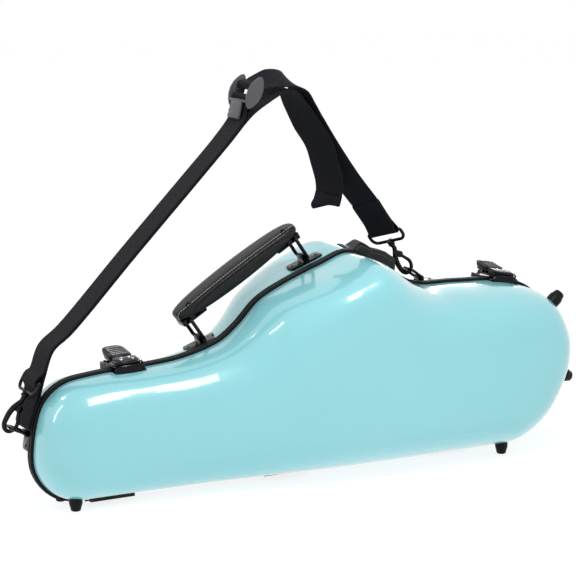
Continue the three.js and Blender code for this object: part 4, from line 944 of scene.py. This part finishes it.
LEFT_LOOP = [
    (1.6, 2.6), (0, 1.5), (-1, 0), (-0.7, -1.5), (-0.25, -2.9), (-0.6, -4.6), (-1.15, -6.6),
    (-2.5, -10.5), (-3.45, -13.6), (-3.1, -15), (-2.7, -13.6), (-2.25, -11.6),
    (-1.1, -8.5), (0.25, -5.2), (0.95, -2.7), (2.1, 1.2),
]
BUCKLE_LOOP = [
    (-2.6, -6.6), (-1.65, -4.6), (-1.1, -1.4), (-0.75, 0.75), (0, 1.05), (0.8, 0.75),
    (1.1, -0.2), (0.75, -1.8), (-0.85, -4.6),
]
ACROSS_Y = np.array([0.0, 1, 0])
BUCKLE_AT, BUCKLE_TURN = np.array([-62.5, STRAP_MIDDLE, 435.0]), math.radians(27)
BUCKLE_BAR, BUCKLE_ARM = 2.2, 7.5
eye_left = anchors["left"][0]
eye_right, wide_right = anchors["right"]
wrap = EYE_ROD + GAP * 2 + WEB_THICK / 2
lay = (WEB_THICK + GAP) / 2
top_bar = BUCKLE_AT + along(BUCKLE_TURN, BUCKLE_ARM)
low_bar = BUCKLE_AT - along(BUCKLE_TURN, BUCKLE_ARM)
bar_wrap = BUCKLE_BAR + GAP * 2 + WEB_THICK / 2


def key_at(key):
    x, z, twist, tilt = key
    return (np.array([x * CASE_LENGTH, STRAP_MIDDLE, z * STRAP_PEAK]),
            ACROSS_Y + (wide_right - ACROSS_Y) * twist + np.array([0, 0, tilt]))


def around(place, radius, pairs):
    return [(np.array([place[0] + x * radius, place[1], place[2] + z * radius]), ACROSS_Y)
            for x, z in pairs]


def web_section():
    """A flat section with rounded, slightly thicker edges."""
    half, thick = WEB_WIDTH / 2, WEB_THICK / 2
    top = [(-half + 0.5, thick * 0.94)]
    top += [(-half + WEB_WIDTH * i / 12, thick * (0.86 if i % 2 else 0.9)) for i in range(1, 12)]
    top += [(half - 0.5, thick * 0.94)]
    right = [(half - 0.1, thick * 0.6), (half, 0), (half - 0.1, -thick * 0.6)]
    low = [(a, -b) for a, b in reversed(top)]
    left = [(-a, b) for a, b in reversed(right)]
    return (top + right + low + left)[::-1]


def webbing(name, keys, node, per=14):
    """A band along keys of (place, direction across it), which stands for a node."""
    path = centripetal([p for p, _ in keys], per)
    widths = []
    for i in range(len(path)):
        at = i / per
        low = min(int(at), len(keys) - 2)
        widths.append(keys[low][1] + (keys[low + 1][1] - keys[low][1]) * (at - low))
    section = web_section()
    strap = make(name, sweep(path, widths, section), WEB, "case_back", crease=55,
                 node=node)
    strip = np.array([(a / 1000, run / 1000, b / 1000) for run in run_along(path)
                      for a, b in section], np.float32)
    layer = strap.data.attributes.new("strip", "FLOAT_VECTOR", "POINT")
    layer.data.foreach_set("vector", strip.ravel())


leg_up = [key_at(k) for k in LEG]
leg_over = []
for (here, wide), (there, _) in zip(leg_up[:LEG_KEYS], leg_up[1:]):
    leg_over.insert(0, (here + np.cross(unit(there - here), ACROSS_Y) * lay * 2, wide))
hem_end, hem_wide = leg_up[-1]
hem_up = unit(leg_up[-2][0] - hem_end)
hem_side = unit(np.cross(hem_up, hem_wide))
hem = [(hem_end + hem_up * a + hem_side * b, hem_wide)
       for a, b in [(-lay, lay), (0, lay * 2), (HEM, lay * 2)]]
main_keys = (around(low_bar, bar_wrap, BUCKLE_LOOP)[::-1] + leg_over
             + around(eye_left, wrap, LEFT_LOOP) + leg_up + hem)
webbing("strap_main", main_keys, "strap_webbing")

lead_keys = [key_at(k) for k in LEAD]
up = unit(lead_keys[-1][0] - eye_right)
flat = unit(wide_right - up * (wide_right @ up))
side_way = np.cross(up, flat)


def right_key(reach, offset, width):
    return eye_right + up * reach + side_way * offset, width


bend = [right_key(-math.sin(i / 4 * math.pi) * wrap, math.cos(i / 4 * math.pi) * wrap, wide_right)
        for i in range(5)]
right_end = ([right_key(SEWN, lay, flat), right_key(wrap * 4, lay, wide_right)] + bend
             + [right_key(wrap * 4, -lay, wide_right), right_key(SEWN, -lay, flat)])
bar_bend = around(top_bar, bar_wrap, [(2.4, -1.7)] + [
    (math.cos((i / 4 - 0.02) * math.pi), math.sin((i / 4 - 0.02) * math.pi))
    for i in (6, 5, 4, 3, 2, 1)])
webbing("strap_short", bar_bend + lead_keys + right_end, "strap_lead")

dress("strap_buckle", PLASTIC, 0.0007, 3)

# Grip
grip_pins = [ring_feet[n] + along(RING_LEAN, RING_PITCH) for n in ("left", "right")]
grip_middle = (grip_pins[0] + grip_pins[1]) / 2
pin_line = grip_pins[1] - grip_pins[0]
pin_half = np.linalg.norm(pin_line) / 2
GRIP_HALF = pin_half + 10
grip_angle = math.atan2(pin_line[2], pin_line[0])
GRIP = lean_at(grip_middle, -grip_angle)


def grip_form(share):
    """Half width, middle and half height of the grip at a share of its half length."""
    fade = max(1 - abs(share) ** 7, 0) ** (1 / 3.2)
    swell = math.cos(share * math.pi / 2) ** 0.8
    half = (29 + (35 - 29) * swell) / 2 * fade
    top = RING_ROD + GAP + 12.5 + 4.2 * swell
    bottom = (RING_ROD + GAP) * (1 - swell) - 2.6 * swell
    middle = (top + bottom) / 2
    tall = (top - bottom) / 2 * (0.3 + 0.7 * fade)
    return max(half, GAP), middle, tall


STITCH_ANGLE, BELLY_ANGLE = 0.9, 0.34


def grip_surface(share, angle):
    """The grip's skin: a cap, a stitched channel, a flange and a padded belly below."""
    half, middle, tall = grip_form(share)
    y = signed_power(math.cos(angle), 0.6)
    z = signed_power(math.sin(angle), 0.66)
    climb = math.asin(math.sin(angle))
    belly_edge = BELLY_ANGLE - 1.5 * abs(share) ** 5
    belly = smooth((belly_edge - climb) / 0.09)
    groove = math.exp(-((climb - belly_edge) / 0.05) ** 2)
    channel = math.exp(-((climb - STITCH_ANGLE) / 0.06) ** 2)
    fade = max(1 - abs(share) ** 4, 0)
    push = 0.085 * belly * fade - 0.075 * groove - 0.028 * channel
    y *= 1 + push
    z *= 1 + push * 0.6
    return np.array([GRIP_HALF * share, y * half, middle + z * tall])


GRIP_ROWS, GRIP_SIDES = 110, 180
points = []
for i in range(GRIP_ROWS + 1):
    share = math.sin((i / GRIP_ROWS - 0.5) * math.pi)
    points += [grip_surface(share, s / GRIP_SIDES * 2 * math.pi) for s in range(GRIP_SIDES)]
faces = tube_faces(GRIP_ROWS + 1, GRIP_SIDES)
grip = make("grip_leather", (points, faces), LEATHER, "grip", GRIP,
            node="handle_grip", merge=0.02)


# Stitches: short rounded threads along a line on a surface
def stitches(name, line, up_way, pitch, material, body, radius, share):
    line = evenly(np.asarray(line, float), 400)
    run = run_along(line)
    parts = []
    at = pitch * 0.3
    while at + pitch * share < run[-1]:
        pair = [np.array([np.interp(t, run, line[:, k]) for k in range(3)])
                for t in np.linspace(at, at + pitch * share, 5)]
        path = [p + up_way * (h * radius) for p, h in zip(pair, [0.0, 0.35, 0.45, 0.35, 0.0])]
        parts.append(sweep(path, [np.cross(up_way, pair[-1] - pair[0])], circle(radius, 8)))
        at += pitch
    make(name, merged(parts), material, body)


for tag, sign in [("near", -1), ("far", 1)]:
    turns = [(-0.985, -0.5), (-0.99, 0.1), (-0.975, 0.55)]
    turns += [(t, STITCH_ANGLE) for t in np.linspace(-0.93, 0.93, 60)]
    turns += [(0.975, 0.55), (0.99, 0.1), (0.985, -0.5)]
    seam = [placed(GRIP, [grip_surface(t, math.pi - a if sign < 0 else a)])[0] for t, a in turns]
    stitches(f"grip_stitch_{tag}", centripetal(seam, 4), unit(GRIP[1] @ np.array([0, sign, 1.2])),
             3.2, THREAD, "grip", radius=0.36, share=0.74)


def facing(point, normal):
    """A frame at a point whose Z lies along a normal."""
    up = unit(normal)
    first = unit(np.cross(up, [0.3, 0.9, 0.1]))
    return point, np.stack([first, np.cross(up, first), up], 1)


EYELET_SHARE, EYELET_ANGLE = 0.8, math.pi * 0.68
for tag, share in [("left", -EYELET_SHARE), ("right", EYELET_SHARE)]:
    at = grip_surface(share, EYELET_ANGLE)
    near = [grip_surface(share + 0.01, EYELET_ANGLE), grip_surface(share, math.pi * 0.7)]
    up_way = np.cross(near[0] - at, near[1] - at)
    up_way *= -1 if up_way[2] < 0 else 1
    rim = sweep([(x, y, 0) for x, y in circle(2.6, 28)], [(0, 0, 1)], circle(0.75, 12), True)
    sunk = turned([(0.02, -0.8), (2.4, -0.8), (2.4, -0.25), (0.02, -0.15)], 20)
    points, faces = merged([rim, sunk])
    make(f"grip_eyelet_{tag}", (placed(facing(at, up_way), points), faces), NICKEL, "grip",
         GRIP, 50)

# Grab pad: a tab, a bevel and a thick right half, with a seam across it
PAD = dict(start=60.0, end=121.0, near=6.5, width=27.0, thick=13.5, swell=6.5, tab=7.0,
           tab_thick=2.4, bevel=9.0, seam=0.47)
PAD_ROWS, PAD_COLS = 72, 36
pad_span = PAD["end"] - PAD["start"]
top, under = [], []
for i in range(PAD_ROWS + 1):
    share = i / PAD_ROWS
    spot = top_spot(PAD["start"] + pad_span * share)
    rise = smooth((share - PAD["tab"] / pad_span) / (PAD["bevel"] / pad_span))
    seam = math.exp(-((share - PAD["seam"]) * pad_span / 1.3) ** 2)
    swell = PAD["swell"] * smooth((share - 0.42) / 0.3)
    base = PAD["tab_thick"] + (PAD["thick"] - PAD["tab_thick"] + swell) * rise
    ends = min(1, (share * pad_span + 0.6) / 3.0, ((1 - share) * pad_span + 0.6) / 5.0)
    for k in range(PAD_COLS + 1):
        u = k / PAD_COLS * 2 - 1
        crown = max(1 - abs(u) ** 6, 0) ** 0.5
        y = PAD["near"] + PAD["width"] / 2 * (1 + u)
        wall = wall_lift(spot, 1, max(y, 5.0))
        height = (base - 1.6 * seam * rise) * crown * math.sqrt(max(ends, 0.02))
        top.append(raised(spot, wall + height, y))
        under.append(raised(spot, wall - 1.0, y))
count = len(top)
faces = ring_faces(PAD_ROWS + 1, PAD_COLS + 1, closed=False)
faces += shifted(faces, count)
grid = np.arange(count).reshape(PAD_ROWS + 1, PAD_COLS + 1)
edge = np.concatenate([grid[:, 0], grid[-1, 1:], grid[-2::-1, -1], grid[0, -2:0:-1]]).tolist()
faces += walled(edge, count)
pad = make("grab_pad_leather", (top + under, faces), LEATHER, "case_back",
           crease=60, node="grab_pad")

pad_grid = np.array(top).reshape(PAD_ROWS + 1, PAD_COLS + 1, 3)
for tag, line, up_way, pitch in [
        ("near", pad_grid[12:PAD_ROWS - 5, 2], (0, 0, 1.0), 3.4),
        ("far", pad_grid[12:PAD_ROWS - 5, PAD_COLS - 2], (0, 0, 1.0), 3.4),
        ("cross", pad_grid[int(PAD_ROWS * PAD["seam"]) + 3, 3:PAD_COLS - 2], (0.4, 0, 0.9), 3.2)]:
    stitches(f"pad_stitch_{tag}", line, np.array(up_way), pitch, THREAD_GREY, "case_back",
             radius=0.3, share=0.7)


# Camera at the photograph's place
def way_to(azimuth, elevation):
    """The direction towards a place at an angle, in degrees."""
    turn, rise = math.radians(azimuth), math.radians(elevation)
    return Vector((math.sin(turn) * math.cos(rise), -math.cos(turn) * math.cos(rise),
                   math.sin(rise)))


AZIMUTH, ELEVATION, DISTANCE, TARGET, LENS = -28.43, 10.99, 2365.6, (-20.6, 0, 214.5), 132.06
back_way = way_to(AZIMUTH, ELEVATION)
camera = new_object("camera", bpy.data.cameras.new("camera"))
camera.data.lens, camera.data.sensor_width, camera.data.clip_end = LENS, 36, 50
camera.location = Vector(to_world(TARGET)) + back_way * (DISTANCE / 1000)
camera.rotation_mode = "QUATERNION"
camera.rotation_quaternion = (-back_way).to_track_quat("-Z", "Y")
bpy.context.scene.camera = camera


# Floor and world: white to the camera and through gloss, and a dimmer grey to the object
def seen_or_else(tree, other, seen, output):
    """One shader for rays from the camera, gloss and glass, and another for all the rest."""
    path = add_node(tree, "LightPath")
    factor = path.outputs["Is Camera Ray"]
    for kind in ("Is Transmission Ray", "Is Glossy Ray"):
        factor = add_node(tree, "Math", {0: factor, 1: path.outputs[kind]},
                          operation="MAXIMUM").outputs[0]
    pick = add_node(tree, "MixShader", {0: factor, 1: other, 2: seen})
    add_node(tree, output, {"Surface": pick.outputs[0]})


def glowing(tree, grey, glow):
    """A matt grey with a glow of its own, which keeps the object's shadow."""
    matt = add_node(tree, "BsdfDiffuse", {"Color": (grey, grey, grey, 1)})
    light = add_node(tree, "Emission", {"Strength": glow})
    return add_node(tree, "AddShader", {0: matt.outputs[0], 1: light.outputs[0]}).outputs[0]


FLOOR_HALF = 6
mesh = bpy.data.meshes.new("floor")
mesh.from_pydata([(-FLOOR_HALF, -FLOOR_HALF, 0), (FLOOR_HALF, -FLOOR_HALF, 0),
                  (FLOOR_HALF, FLOOR_HALF, 0), (-FLOOR_HALF, FLOOR_HALF, 0)], [], [(0, 1, 2, 3)])
floor = new_object("floor", mesh)
floor_material = bpy.data.materials.new("floor_white")
floor_material.use_nodes = True
tree = floor_material.node_tree
tree.nodes.clear()
seen_or_else(tree, glowing(tree, 0.8, 0.26), glowing(tree, 0.3, 0.84), "OutputMaterial")
mesh.materials.append(floor_material)

world = bpy.data.worlds.new("studio")
bpy.context.scene.world = world
world.use_nodes = True
tree = world.node_tree
tree.nodes.clear()
sky = [add_node(tree, "Background", {"Color": (1, 1, 1, 1), "Strength": strength}).outputs[0]
       for strength in (0.52, 1.0)]
seen_or_else(tree, *sky, "OutputWorld")


# Lamps
def softbox(name, azimuth, elevation, wide, tall, radiance, level=False, distance=3.0,
            seen_from=(0, 0, 0.15)):
    """A soft light seen from a place at an angle, with its size in degrees."""
    way = way_to(azimuth, elevation)
    data = bpy.data.lights.new(name, "AREA")
    data.shape = "RECTANGLE"
    data.size = 2 * distance * math.tan(math.radians(wide / 2))
    data.size_y = 2 * distance * math.tan(math.radians(tall / 2))
    data.energy = radiance * math.pi * data.size * data.size_y
    light = new_object(name, data)
    light.location = Vector(seen_from) + way * distance
    side_axis = Vector((1, 0, 0)) if level else Vector((0, 0, 1)).cross(way)
    side_axis = (side_axis - way * side_axis.dot(way)).normalized()
    up_axis = way.cross(side_axis)
    light.rotation_mode = "QUATERNION"
    light.rotation_quaternion = Matrix((side_axis, up_axis, way)).transposed().to_quaternion()
    light.visible_camera = False


NECK_TOP = (-0.165, -0.047, 0.13)
for tag, azimuth, elevation, wide, tall in [("left", 13.5, 56, 14, 22), ("middle", 23, 57, 7, 20),
                                            ("right", 29, 59, 7, 14)]:
    softbox(f"window_{tag}", azimuth, elevation, wide, tall, 8.5, level=True, distance=1.1,
            seen_from=NECK_TOP)
softbox("strip_light", -97, 27, 4.5, 34, 10)
softbox("left_light", -129, 50, 7, 7, 12)
softbox("back_light", 143, 12, 14, 7, 4)

bpy.context.scene.view_settings.view_transform = "Standard"
